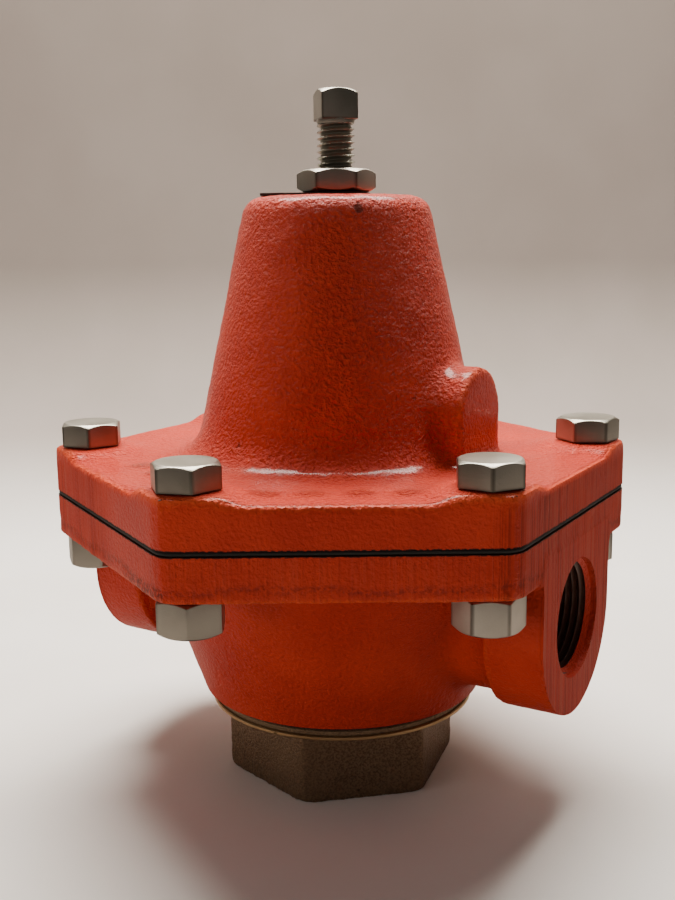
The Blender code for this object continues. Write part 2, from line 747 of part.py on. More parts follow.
def spring_button():
    """The upper spring plate, with a dimple that centres the screw's tip."""
    top = button_bottom + button_thickness
    hub_top = top + button_hub_height
    edge = button_edge
    pilot_radius = range_spring_radius - range_spring_wire / 2 - slide_gap
    return turned("spring_button", [
        (0, hub_top - button_dimple_depth), (button_dimple_floor, hub_top - button_dimple_depth),
        (button_dimple_radius, hub_top), (button_hub_radius - edge, hub_top),
        (button_hub_radius, hub_top - edge), (button_hub_radius, top), (button_radius - edge, top),
        (button_radius, top - edge), (button_radius, button_bottom),
        (pilot_radius, button_bottom),
        (pilot_radius - button_pilot_taper, button_bottom - button_pilot_depth),
        (0, button_bottom - button_pilot_depth)], zinc_plate, inner_steps)


# ---------------------------------------------------------------- flange bolts
def flange_bolt(index):
    under_head = bolt_seat + touch_gap
    name = f"flange_bolt_{index + 1}"
    made = chamfered_prism(name, bolt_head_flats, under_head, under_head + bolt_head_height,
                             bolt_turns[index], zinc_plate)
    end = under_head - bolt_length
    join(made, turned(name + "_shank", [
        (0, under_head + cut_over), (bolt_radius, under_head + cut_over),
        (bolt_radius, end + bolt_point_chamfer),
        (bolt_radius - bolt_point_chamfer, end), (0, end)], steps=small_steps))
    return made


def flange_nut(index):
    top = body_flange_bottom - touch_gap
    name = f"flange_nut_{index + 1}"
    made = chamfered_prism(name, nut_flats, top - nut_height, top, nut_turns[index], zinc_plate,
                             both_ends=True)
    cut(made, rod(name + "_hole", bolt_radius + thread_gap, top - nut_height - cut_over, top + cut_over))
    return made


def place_with_helpers(made, centre):
    """Moves a piece and the helpers of its Booleans to its place."""
    for step in made.modifiers:
        if step.type == "BOOLEAN":
            step.object.location = centre
    made.location = centre


bottom_plug()
plug_gasket()
valve_body()
spring_chamber()
diaphragm()
seat_ring()
name_tag()
for number, place in bolt_places():
    place_with_helpers(flange_bolt(number), place)
    place_with_helpers(flange_nut(number), place)

coil("range_spring", range_spring_radius, range_spring_wire, plate_top + touch_gap,
     button_bottom - touch_gap, range_spring_turns, spring_steel)
coil("piston_spring", piston_spring_radius, piston_spring_wire, plug_floor + touch_gap,
     web_bottom - touch_gap, piston_spring_turns, spring_steel)

stack_axis = axis_empty("diaphragm_stack_axis", diaphragm_top)
carry(stack_axis, pressure_plate(), diaphragm_nut(), pusher_post(), piston(), seat_disc(), disc_nut())
button_axis = axis_empty("spring_button_axis", screw_tip)
carry(button_axis, spring_button())
screw_axis = axis_empty("adjusting_screw_axis", screw_tip)
carry(screw_axis, adjusting_screw())
screw_axis.parent = button_axis
screw_axis.matrix_parent_inverse = Matrix.Translation(button_axis.location).inverted()
carry(axis_empty("lock_nut_axis", lock_nut_bottom), lock_nut())
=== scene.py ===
# %% [markdown]
# # A pressure reducing valve, dressed for its portrait
#
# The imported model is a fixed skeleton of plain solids: two castings bolted round a rubber
# diaphragm, an adjusting screw on top and a bronze plug below. This lesson puts a finished
# surface over that skeleton. Every piece is placed from the skeleton's own boxes, so nothing is
# fitted by eye, and every finish is built from nodes.

import json
import math

import bmesh
import bpy
import numpy as np
from mathutils import Matrix, Vector

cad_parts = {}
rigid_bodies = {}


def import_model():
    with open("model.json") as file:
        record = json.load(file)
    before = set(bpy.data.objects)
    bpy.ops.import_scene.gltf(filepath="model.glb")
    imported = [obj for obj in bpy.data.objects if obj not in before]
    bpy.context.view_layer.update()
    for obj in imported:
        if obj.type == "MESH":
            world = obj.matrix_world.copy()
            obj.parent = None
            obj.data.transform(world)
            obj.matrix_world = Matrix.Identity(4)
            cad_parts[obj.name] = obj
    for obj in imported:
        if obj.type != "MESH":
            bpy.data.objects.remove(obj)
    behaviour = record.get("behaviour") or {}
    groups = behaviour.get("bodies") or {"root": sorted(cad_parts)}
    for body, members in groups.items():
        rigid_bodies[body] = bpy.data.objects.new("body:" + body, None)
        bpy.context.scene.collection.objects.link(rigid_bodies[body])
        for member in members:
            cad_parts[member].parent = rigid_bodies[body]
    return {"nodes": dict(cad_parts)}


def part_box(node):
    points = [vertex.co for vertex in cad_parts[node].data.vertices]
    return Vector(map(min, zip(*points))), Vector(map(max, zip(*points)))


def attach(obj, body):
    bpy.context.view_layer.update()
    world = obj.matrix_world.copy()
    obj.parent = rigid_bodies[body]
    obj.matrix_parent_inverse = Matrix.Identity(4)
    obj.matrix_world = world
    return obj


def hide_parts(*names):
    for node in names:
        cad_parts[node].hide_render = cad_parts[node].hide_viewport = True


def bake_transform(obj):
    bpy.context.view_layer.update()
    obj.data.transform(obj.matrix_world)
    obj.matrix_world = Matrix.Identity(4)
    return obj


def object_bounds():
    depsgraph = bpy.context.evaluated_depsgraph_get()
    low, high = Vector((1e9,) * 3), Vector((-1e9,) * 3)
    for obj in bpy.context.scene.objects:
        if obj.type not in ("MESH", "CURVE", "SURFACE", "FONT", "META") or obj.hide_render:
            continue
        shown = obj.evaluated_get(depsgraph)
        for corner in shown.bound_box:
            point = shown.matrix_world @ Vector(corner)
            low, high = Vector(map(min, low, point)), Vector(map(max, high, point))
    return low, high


for old in list(bpy.data.objects):
    bpy.data.objects.remove(old, do_unlink=True)

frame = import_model()
cad_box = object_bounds()
MM = 0.001
INCH = 25.4 * MM

# %% [markdown]
# ## The view
#
# The valve stands on a table and is seen from a little above, turned so that one flat of its
# hexagonal flanges faces us. A camera could be aimed with a constraint. A place, a heading, a
# pitch and a roll say the same thing in four numbers, and they stay put when pieces are added.

# %% Camera
camera_place = Vector((148.9, -254.2, 139.5)) * MM
camera_heading = math.radians(30.46)
camera_pitch = math.radians(-10.37)
camera_roll = math.radians(-0.69)
camera_lens = 45.25

lens = bpy.data.cameras.new("camera")
lens.lens = camera_lens
lens.sensor_width = 36.0
camera = bpy.data.objects.new("camera", lens)
camera.location = camera_place
turn = Matrix.Rotation(camera_heading, 4, "Z") @ Matrix.Rotation(math.pi / 2 + camera_pitch, 4, "X")
camera.rotation_euler = (turn @ Matrix.Rotation(camera_roll, 4, "Z")).to_euler()
bpy.context.scene.collection.objects.link(camera)
bpy.context.scene.camera = camera
print("camera looks along", tuple(round(x, 3) for x in turn.to_3x3() @ Vector((0, 0, -1))))

# %% [markdown]
# ## Levels
#
# A fitter reads a valve as a stack of levels: the plug, the gasket, the body's base, the two
# joint faces and the top of the spring chamber. The frame's boxes give all of them. Sizes that a
# box can't show, such as a fillet or a wall, are the design's own and are named here once.

# %% Levels from the frame
body_low, body_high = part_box("valve_body")
cover_low, cover_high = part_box("spring_chamber")
_, plug_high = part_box("bottom_plug")
gasket_low, gasket_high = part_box("plug_gasket")
sheet_low, sheet_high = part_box("diaphragm")

flange_flats = cover_high.x - cover_low.x
flange_corner = 5.0 * MM
port_face = body_high.x
body_base = body_low.z
body_top = body_high.z
cover_base = cover_low.z
cone_top = cover_high.z
body_flange_bottom = body_top - 10.5 * MM
cover_flange_top = cover_base + 9.7 * MM
bolt_seat = cover_flange_top + 1.9 * MM
parting_height = body_flange_bottom + 3.0 * MM
port_height = body_base + 26.5 * MM
print("joint faces at", round(body_top * 1000, 2), "and", round(cover_base * 1000, 2), "mm")


# %% [markdown]
# ## Small helpers
#
# Node trees are easier to read in code when one call makes a node, one call makes a sum, and a
# socket and a plain number can be used in the same place. These few functions do that, for
# geometry trees and for shader trees alike.

# %% Node helpers
def node(tree, kind, **settings):
    """A new node, with its settings."""
    made = tree.nodes.new(kind)
    for name, value in settings.items():
        setattr(made, name, value)
    return made


def feed(tree, socket, value):
    """Links a socket to a socket, or sets it to a plain value."""
    if isinstance(value, bpy.types.NodeSocket):
        tree.links.new(value, socket)
    elif socket.type == "VECTOR" and isinstance(value, float):
        socket.default_value = (value, value, value)
    else:
        socket.default_value = value


def wired(tree, kind, inputs, **settings):
    """A new node with its inputs fed by name, and its first output."""
    made = node(tree, kind, **settings)
    for name, value in inputs.items():
        feed(tree, made.inputs[name], value)
    return made.outputs[0]


def calc(tree, operation, *values, clamp=False):
    """One Math node, and its result."""
    made = node(tree, "ShaderNodeMath", operation=operation, use_clamp=clamp)
    for socket, value in zip(made.inputs, values):
        feed(tree, socket, value)
    return made.outputs[0]


def vector_calc(tree, operation, *values):
    """One Vector Math node, and its result."""
    made = node(tree, "ShaderNodeVectorMath", operation=operation)
    for socket, value in zip(made.inputs, values):
        feed(tree, socket, value)
    return made.outputs["Value"] if operation == "DOT_PRODUCT" else made.outputs["Vector"]


def scaled(tree, vector, factor):
    """A vector made longer or shorter."""
    made = node(tree, "ShaderNodeVectorMath", operation="SCALE")
    feed(tree, made.inputs[0], vector)
    feed(tree, made.inputs["Scale"], factor)
    return made.outputs[0]


def combined(tree, *values):
    """A vector from its three parts."""
    made = node(tree, "ShaderNodeCombineXYZ")
    for socket, value in zip(made.inputs, values):
        feed(tree, socket, value)
    return made.outputs[0]


def round_axis(tree, radius, angle, height):
    """A point at a distance from the upright axis, at an angle round it and a height."""
    return combined(tree, calc(tree, "MULTIPLY", radius, calc(tree, "COSINE", angle)),
                    calc(tree, "MULTIPLY", radius, calc(tree, "SINE", angle)), height)


def parted(tree, vector):
    """A vector's three parts."""
    made = node(tree, "ShaderNodeSeparateXYZ")
    feed(tree, made.inputs[0], vector)
    return made.outputs


def noise(tree, place, size, detail, seed=None, roughness=0.5):
    """Soft noise from 0 to 1, whose features have this size."""
    made = node(tree, "ShaderNodeTexNoise", noise_dimensions="3D" if seed is None else "4D")
    feed(tree, made.inputs["Vector"], vector_calc(tree, "DIVIDE", place, size))
    if seed is not None:
        feed(tree, made.inputs["W"], seed)
    made.inputs["Scale"].default_value = 1.0
    made.inputs["Detail"].default_value = detail
    made.inputs["Roughness"].default_value = roughness
    return made.outputs["Fac"]


def start_tree(name, kind, inputs, outputs):
    """A group with named sockets, its Group Input's outputs by name, and its Group Output."""
    tree = bpy.data.node_groups.new(name, kind)
    for label, (socket_type, value) in inputs.items():
        socket = tree.interface.new_socket(label, in_out="INPUT", socket_type=socket_type)
        if value is not None:
            socket.default_value = value
    for label, socket_type in outputs.items():
        tree.interface.new_socket(label, in_out="OUTPUT", socket_type=socket_type)
    source = node(tree, "NodeGroupInput")
    ends = node(tree, "NodeGroupOutput")
    return tree, {socket.name: socket for socket in source.outputs}, ends


def end_tree(tree, shape, finish, ends):
    """Ends a geometry tree: instances are made real, and the finish is set."""
    real = wired(tree, "GeometryNodeRealizeInstances", {"Geometry": shape})
    painted = wired(tree, "GeometryNodeSetMaterial", {"Geometry": real, "Material": finish})
    feed(tree, ends.inputs["Geometry"], painted)
    return tree


FLOAT = "NodeSocketFloat"
INTEGER = "NodeSocketInt"
GEOMETRY = "NodeSocketGeometry"
MATERIAL = "NodeSocketMaterial"


# %% Mesh helpers
def link_object(name, mesh):
    """A new object at the origin that holds a mesh."""
    made = bpy.data.objects.new(name, mesh)
    bpy.context.scene.collection.objects.link(made)
    return made


def run_tree(work, tree, **values):
    """Adds a Geometry Nodes modifier, and sets its inputs by their identifiers."""
    step = work.modifiers.new(tree.name, "NODES")
    step.node_group = tree
    names = {item.name: item.identifier for item in tree.interface.items_tree
             if item.item_type == "SOCKET" and item.in_out == "INPUT"}
    for label, value in values.items():
        step[names[label.replace("_", " ").title()]] = value
    return step


def finished(work, name):
    """The evaluated result as a plain mesh object. The working object is removed."""
    graph = bpy.context.evaluated_depsgraph_get()
    mesh = bpy.data.meshes.new_from_object(
        work.evaluated_get(graph), preserve_all_data_layers=True, depsgraph=graph)
    bpy.data.objects.remove(work)
    mesh.name = name
    used = [finish for finish in mesh.materials if finish]
    places = [used.index(finish) if finish else 0 for finish in mesh.materials]
    slots = [places[face.material_index] if places else 0 for face in mesh.polygons]
    mesh.materials.clear()
    for finish in used:
        mesh.materials.append(finish)
    mesh.polygons.foreach_set("material_index", slots)
    return link_object(name, mesh)


def close_up(mesh, outward=True, nearer=0.001 * MM):
    """Merges points that coincide, and turns every face outward."""
    shape = bmesh.new()
    shape.from_mesh(mesh)
    bmesh.ops.remove_doubles(shape, verts=shape.verts, dist=nearer)
    bmesh.ops.dissolve_degenerate(shape, edges=shape.edges, dist=nearer)
    if outward:
        bmesh.ops.recalc_face_normals(shape, faces=shape.faces)
    shape.to_mesh(mesh)
    shape.free()
    return mesh


def smooth(mesh, degrees=38):
    """Smooth shading, with creases where faces meet more sharply than that."""
    mesh.shade_smooth()
    mesh.set_sharp_from_angle(angle=math.radians(degrees))
    return mesh


def report(piece):
    """Prints a piece's size in millimetres and its triangles."""
    piece.data.calc_loop_triangles()
    corners = np.array([vert.co for vert in piece.data.vertices])
    size = np.round((corners.max(0) - corners.min(0)) * 1000, 1)
    print(f"{piece.name}: {size} mm, {len(piece.data.loop_triangles)} triangles")
    return piece


# %% [markdown]
# ## Outlines
#
# Nearly everything here is turned on a lathe or has flats round an axis. Both are the same
# thing: a row of points in the (radius, height) plane carried round the axis, where the radius
# may depend on the angle. One function builds them all. Blender's Screw modifier would do the
# round ones, but not the ones with flats.

# %% Turned and faceted shapes
def flats_radius(angle, sides, flats, corner):
    """Distance from the axis to a polygon with flats facing angle 0 and rounded corners."""
    half_side = math.pi / sides
    off_flat = (angle + half_side) % (2 * half_side) - half_side
    apothem = flats / 2
    reach = (apothem - corner) * math.tan(half_side) / apothem
    if abs(off_flat) <= math.atan(reach):
        return apothem / math.cos(off_flat)
    centre = (apothem - corner) / math.cos(half_side)
    off_corner = half_side - abs(off_flat)
    return centre * math.cos(off_corner) + math.sqrt(
        corner ** 2 - (centre * math.sin(off_corner)) ** 2)


def carried_round(name, rows_at, around=120, ring=False):
    """A mesh from rows_at(angle), a list of (radius, height) that runs down the outer side."""
    verts, faces = [], []
    for step in range(around):
        angle = 2 * math.pi * step / around
        for radius, height in rows_at(angle):
            verts.append((radius * math.cos(angle), radius * math.sin(angle), height))
    rows = len(verts) // around
    for step in range(around):
        here, there = step * rows, (step + 1) % around * rows
        for row in range(rows if ring else rows - 1):
            below = (row + 1) % rows
            faces.append((here + row, here + below, there + below, there + row))
    mesh = bpy.data.meshes.new(name)
    mesh.from_pydata(verts, [], faces)
    return close_up(mesh)


def turned(name, outline, around=120, ring=False):
    """A turned mesh from one outline."""
    return carried_round(name, lambda angle: outline, around, ring)


def rod(name, radius, bottom, top, around=24):
    """A plain upright cylinder."""
    return turned(name, [(0, top), (radius, top), (radius, bottom), (0, bottom)], around)


def flange_hexagon(bottom, top):
    """An upright prism with the flange's flats and rounded corners."""
    def rows(angle):
        radius = flats_radius(angle, 6, flange_flats, flange_corner)
        return [(0, top), (radius, top), (radius, bottom), (0, bottom)]
    return carried_round("flange", rows, 180)


def arc(centre, radius, start, end, steps=10):
    """Points of an arc in the (radius, height) plane, between two angles in degrees."""
    angles = [math.radians(start + (end - start) * step / steps) for step in range(steps + 1)]
    return [(centre[0] + radius * math.cos(a), centre[1] + radius * math.sin(a)) for a in angles]


def laid_along_x(mesh, height, side):
    """Turns an upright mesh to lie along +X or -X at a height."""
    mesh.transform(Matrix.Translation((0, 0, height)) @ Matrix.Rotation(side * math.pi / 2, 4, "Y"))
    return mesh


def mesh_of(shape, name, outward=True):
    """A mesh from a bmesh, with its faces turned outward."""
    if outward:
        bmesh.ops.recalc_face_normals(shape, faces=shape.faces)
    made = bpy.data.meshes.new(name)
    shape.to_mesh(made)
    shape.free()
    return made


def joined(name, meshes):
    """Several meshes as one, without any Boolean."""
    shape = bmesh.new()
    for mesh in meshes:
        shape.from_mesh(mesh)
    return mesh_of(shape, name, outward=False)


def cut_with(piece, meshes, finish, operation="DIFFERENCE"):
    """Adds Booleans that cut closed meshes out of a closed piece, and gives the cut its finish."""
    cutters = []
    for mesh in meshes:
        if not mesh.materials:
            mesh.materials.append(finish)
        cutter = link_object("cutter_" + mesh.name, mesh)
        cutter.hide_render = True
        step = piece.modifiers.new(mesh.name, "BOOLEAN")
        step.operation = operation
        step.object = cutter
        step.solver = "MANIFOLD"
        step.material_mode = "TRANSFER"
        cutters.append(cutter)
    return cutters


def settle(piece, cutters, name):
    """Makes the Booleans' result a plain mesh, and removes the cutters."""
    made = finished(piece, name)
    for cutter in cutters:
        bpy.data.objects.remove(cutter)
    close_up(made.data, outward=False)
    return made


# %% [markdown]
# ## The skin of a sand casting
#
# Molten iron poured into sand comes out with full fillets in its inner corners, slightly soft
# outer edges, gentle lumps and a fine grain. Sculpting does this well but can't be repeated from
# a script. Here a voxel remesh fuses the plain shapes, and a Geometry Nodes tree works the
# result: it fills inner corners outward, softens everything a little, lifts the surface by
# noise, and stores how far each point stands out, for the paint to use later.

# %% Geometry Nodes: the casting skin
def cast_skin_tree():
    tree, given, ends = start_tree("cast_skin", "GeometryNodeTree", {
        "Geometry": (GEOMETRY, None), "Fillet Steps": (INTEGER, 14), "Soften Steps": (INTEGER, 3),
        "Lump Size": (FLOAT, 9 * MM), "Lump Height": (FLOAT, 0.18 * MM),
        "Grain Size": (FLOAT, 2.2 * MM), "Grain Height": (FLOAT, 0.16 * MM),
        "Seed": (FLOAT, 0.0), "Finish": (MATERIAL, None)}, {"Geometry": GEOMETRY})

    def blurred(value, steps):
        made = node(tree, "GeometryNodeBlurAttribute", data_type="FLOAT_VECTOR")
        feed(tree, made.inputs["Value"], value)
        feed(tree, made.inputs["Iterations"], steps)
        return made.outputs["Value"]

    def moved(shape, **how):
        return wired(tree, "GeometryNodeSetPosition", {"Geometry": shape, **how})

    place = node(tree, "GeometryNodeInputPosition").outputs[0]
    normal = node(tree, "GeometryNodeInputNormal").outputs[0]
    inward = vector_calc(tree, "SUBTRACT", blurred(place, given["Fillet Steps"]), place)
    filled = calc(tree, "MAXIMUM", vector_calc(tree, "DOT_PRODUCT", inward, normal), 0.0)
    shape = moved(given["Geometry"], Offset=scaled(tree, normal, filled))
    shape = moved(shape, Position=blurred(place, given["Soften Steps"]))

    stands_out = vector_calc(tree, "SUBTRACT", place, blurred(place, 5))
    shape = wired(tree, "GeometryNodeStoreNamedAttribute", {
        "Geometry": shape, "Name": "edge",
        "Value": vector_calc(tree, "DOT_PRODUCT", stands_out, normal)},
        data_type="FLOAT", domain="POINT")

    def ripple(size, detail):
        return calc(tree, "SUBTRACT", noise(tree, place, size, detail, given["Seed"]), 0.5)

    rough = wired(tree, "GeometryNodeInputNamedAttribute", {"Name": "rough"}, data_type="FLOAT")
    rise = calc(tree, "MULTIPLY", ripple(given["Lump Size"], 1.0), given["Lump Height"])
    rise = calc(tree, "MULTIPLY_ADD", ripple(given["Grain Size"], 3.0), given["Grain Height"], rise)
    rise = calc(tree, "MULTIPLY", rise, rough)
    shape = moved(shape, Offset=scaled(tree, normal, calc(tree, "MULTIPLY", rise, 2.0)))
    return end_tree(tree, shape, given["Finish"], ends)


cast_skin = cast_skin_tree()
print("cast_skin:", len(cast_skin.nodes), "nodes")


# %% Fused casting from plain shapes
def fused(name, meshes, voxel):
    """Plain closed shapes fused into one mesh of even faces."""
    work = link_object(name, joined(name, meshes))
    remesh = work.modifiers.new("fuse", "REMESH")
    remesh.mode = "VOXEL"
    remesh.voxel_size = voxel
    return finished(work, name)


def skinned(work, name, finish, **sizes):
    """A fused casting after the skin tree has worked it."""
    run_tree(work, cast_skin, soften_steps=2, finish=finish, **sizes)
    return finished(work, name)


def points_of(mesh):
    """All of a mesh's points, as an array."""
    flat = np.empty(len(mesh.vertices) * 3, np.float32)
    mesh.vertices.foreach_get("co", flat)
    return flat.reshape(-1, 3).astype(float)


def set_points(mesh, points):
    """Writes an array of points back to a mesh."""
    mesh.vertices.foreach_set("co", points.astype(np.float32).ravel())
    mesh.update()


def store_points(mesh, name, values):
    """A number at each point, which trees and materials can read by name."""
    made = mesh.attributes.get(name) or mesh.attributes.new(name, "FLOAT", "POINT")
    made.data.foreach_set("value", values.astype(np.float32))


def ease(values, start, end):
    """0 before start, 1 after end, and a smooth step between."""
    share = np.clip((values - start) / (end - start), 0, 1)
    return share * share * (3 - 2 * share)


def flat_distance(points):
    """How far a point is from the axis, measured square to the flange's nearest flat."""
    angles = np.arange(3) * math.pi / 3
    across = np.abs(points[:, :1] * np.cos(angles) + points[:, 1:2] * np.sin(angles))
    return across.max(1)


def side_share(points, start, full):
    """0 inside the flange, and 1 from a small depth under its flats outward."""
    return ease(flat_distance(points), flange_flats / 2 - start, flange_flats / 2 - full)


# %% [markdown]
# ## Red paint over iron
#
# The paint is a thick, glossy orange red. Seen close, it breaks up: the sand's grain stands
# through it, high spots are rubbed thin and paler, pits hold dirt, and the sides that were
# ground flat carry fine upright lines. Each of these is a shader group, since other finishes use
# them too. Groups give out numbers that vary over the surface. The shader itself stays in the
# material.

# %% Shader groups
def object_place(tree):
    """The point being shaded, in the object's own metres."""
    return node(tree, "ShaderNodeTexCoord").outputs["Object"]


def grain_tree():
    """Height and pits of a cast surface, sized in metres."""
    tree, given, ends = start_tree("cast_grain", "ShaderNodeTree", {
        "Grain Size": (FLOAT, 1.1 * MM), "Pit Size": (FLOAT, 5 * MM), "Pit Share": (FLOAT, 0.2),
        "Seed": (FLOAT, 0.0)}, {"Height": FLOAT, "Pits": FLOAT, "Blotches": FLOAT})
    place = object_place(tree)

    fine = noise(tree, place, given["Grain Size"], 3.0, given["Seed"], 0.55)

    cells = node(tree, "ShaderNodeTexVoronoi", voronoi_dimensions="4D", feature="F1")
    feed(tree, cells.inputs["Vector"], vector_calc(tree, "DIVIDE", place, given["Pit Size"]))
    feed(tree, cells.inputs["W"], given["Seed"])
    cells.inputs["Scale"].default_value = 1.0
    chosen = node(tree, "ShaderNodeSeparateColor")
    feed(tree, chosen.inputs[0], cells.outputs["Color"])
    has_pit = calc(tree, "LESS_THAN", chosen.outputs[0], given["Pit Share"])
    wide = calc(tree, "MULTIPLY_ADD", chosen.outputs[1], 0.14, 0.05)
    ragged = calc(tree, "MULTIPLY_ADD", fine, 0.25, cells.outputs["Distance"])
    depth = calc(tree, "SUBTRACT", wide, calc(tree, "SUBTRACT", ragged, 0.125))
    pit = calc(tree, "MULTIPLY", calc(tree, "MULTIPLY", depth, 14.0, clamp=True), has_pit)

    feed(tree, ends.inputs["Height"], fine)
    feed(tree, ends.inputs["Pits"], pit)
    feed(tree, ends.inputs["Blotches"], noise(tree, place, 22 * MM, 4.0, given["Seed"]))
    return tree


def streak_tree():
    """Fine lines that run up and down an upright face, as a grinding belt leaves them."""
    tree, given, ends = start_tree("grind_lines", "ShaderNodeTree", {
        "Line Width": (FLOAT, 0.7 * MM), "Line Length": (FLOAT, 60 * MM)},
        {"Lines": FLOAT, "Bands": FLOAT})
    place = object_place(tree)

    def lines(width, length):
        return noise(tree, place, combined(tree, width, width, length), 2.0)

    feed(tree, ends.inputs["Lines"], lines(given["Line Width"], given["Line Length"]))
    wide = calc(tree, "MULTIPLY", given["Line Width"], 6.0)
    feed(tree, ends.inputs["Bands"], lines(wide, given["Line Length"]))
    return tree


def wear_tree():
    """Where edges are rubbed and where hollows stay dark, from a stored number on each point."""
    tree, given, ends = start_tree("edge_wear", "ShaderNodeTree", {
        "Edge": (FLOAT, 0.0), "Breakup": (FLOAT, 0.5), "Rubbed From": (FLOAT, 0.12 * MM),
        "Rubbed To": (FLOAT, 0.35 * MM)}, {"Rubbed": FLOAT, "Chipped": FLOAT, "Hollow": FLOAT})
    noisy = calc(tree, "MULTIPLY_ADD", calc(tree, "SUBTRACT", given["Breakup"], 0.5), 0.5 * MM,
                 given["Edge"])
    feed(tree, ends.inputs["Rubbed"], wired(tree, "ShaderNodeMapRange", {
        "Value": noisy, "From Min": given["Rubbed From"], "From Max": given["Rubbed To"]}))
    chipped = calc(tree, "SUBTRACT", noisy, calc(tree, "MULTIPLY", given["Rubbed To"], 1.3))
    feed(tree, ends.inputs["Chipped"], calc(tree, "MULTIPLY", chipped, 20000.0, clamp=True))
    hollow = calc(tree, "MULTIPLY", given["Edge"], -1 / (0.25 * MM), clamp=True)
    feed(tree, ends.inputs["Hollow"], hollow)
    return tree


cast_grain = grain_tree()
grind_lines = streak_tree()
edge_wear = wear_tree()
print("shader groups:", cast_grain.name, grind_lines.name, edge_wear.name)


# %% [markdown]
# ### Shorter ways to write a material
#
# A material is easier to follow as a list of layers: one colour laid over another where a mask
# says so. These functions make that list possible.

# %% Material helpers
def new_finish(name, roughness, metallic=0.0):
    """A material with its tree and its Principled shader."""
    made = bpy.data.materials.new(name)
    made.use_nodes = True
    tree = made.node_tree
    shader = tree.nodes["Principled BSDF"]
    shader.inputs["Roughness"].default_value = roughness
    shader.inputs["Metallic"].default_value = metallic
    return made, tree, shader


def placed(tree, group, **values):
    """A group node with its own values, and its outputs by name."""
    made = node(tree, "ShaderNodeGroup", node_tree=group)
    for label, value in values.items():
        feed(tree, made.inputs[label.replace("_", " ").title()], value)
    return made.outputs


def mixed(tree, share, first, second):
    """A colour between two others."""
    made = node(tree, "ShaderNodeMix", data_type="RGBA")
    feed(tree, made.inputs["Factor"], share)
    ends = [socket for socket in made.inputs if socket.type == "RGBA"]
    for socket, value in zip(ends, (first, second)):
        feed(tree, socket, (*value, 1.0) if isinstance(value, tuple) else value)
    return next(socket for socket in made.outputs if socket.type == "RGBA")


def layer(tree, colour, share, amount, tint):
    """Lays a second colour over the first, at most by the amount."""
    return mixed(tree, calc(tree, "MULTIPLY", share, amount), colour, tint)


def between(tree, value, low, high):
    """A number from 0 to 1 as the value goes from low to high."""
    return wired(tree, "ShaderNodeMapRange", {"Value": value, "From Min": low, "From Max": high},
                 interpolation_type="SMOOTHSTEP")


def stored(tree, name):
    """A number that the mesh carries at each point."""
    return node(tree, "ShaderNodeAttribute", attribute_name=name).outputs["Fac"]


def bumped(tree, shader, height, distance):
    """Feeds a Bump node, with the height's full range in metres."""
    feed(tree, shader.inputs["Normal"], wired(tree, "ShaderNodeBump", {
        "Distance": distance, "Strength": 1.0, "Height": height}))


# %% [markdown]
# ### The paint itself
#
# Two reds, dark where the coat is thick and orange where it is thin, are mixed by broad blotches
# and by the stored edge value. Ground sides get a paler, dustier red between their lines. The
# grain goes into the bump, and pits go both into the bump and into the colour.

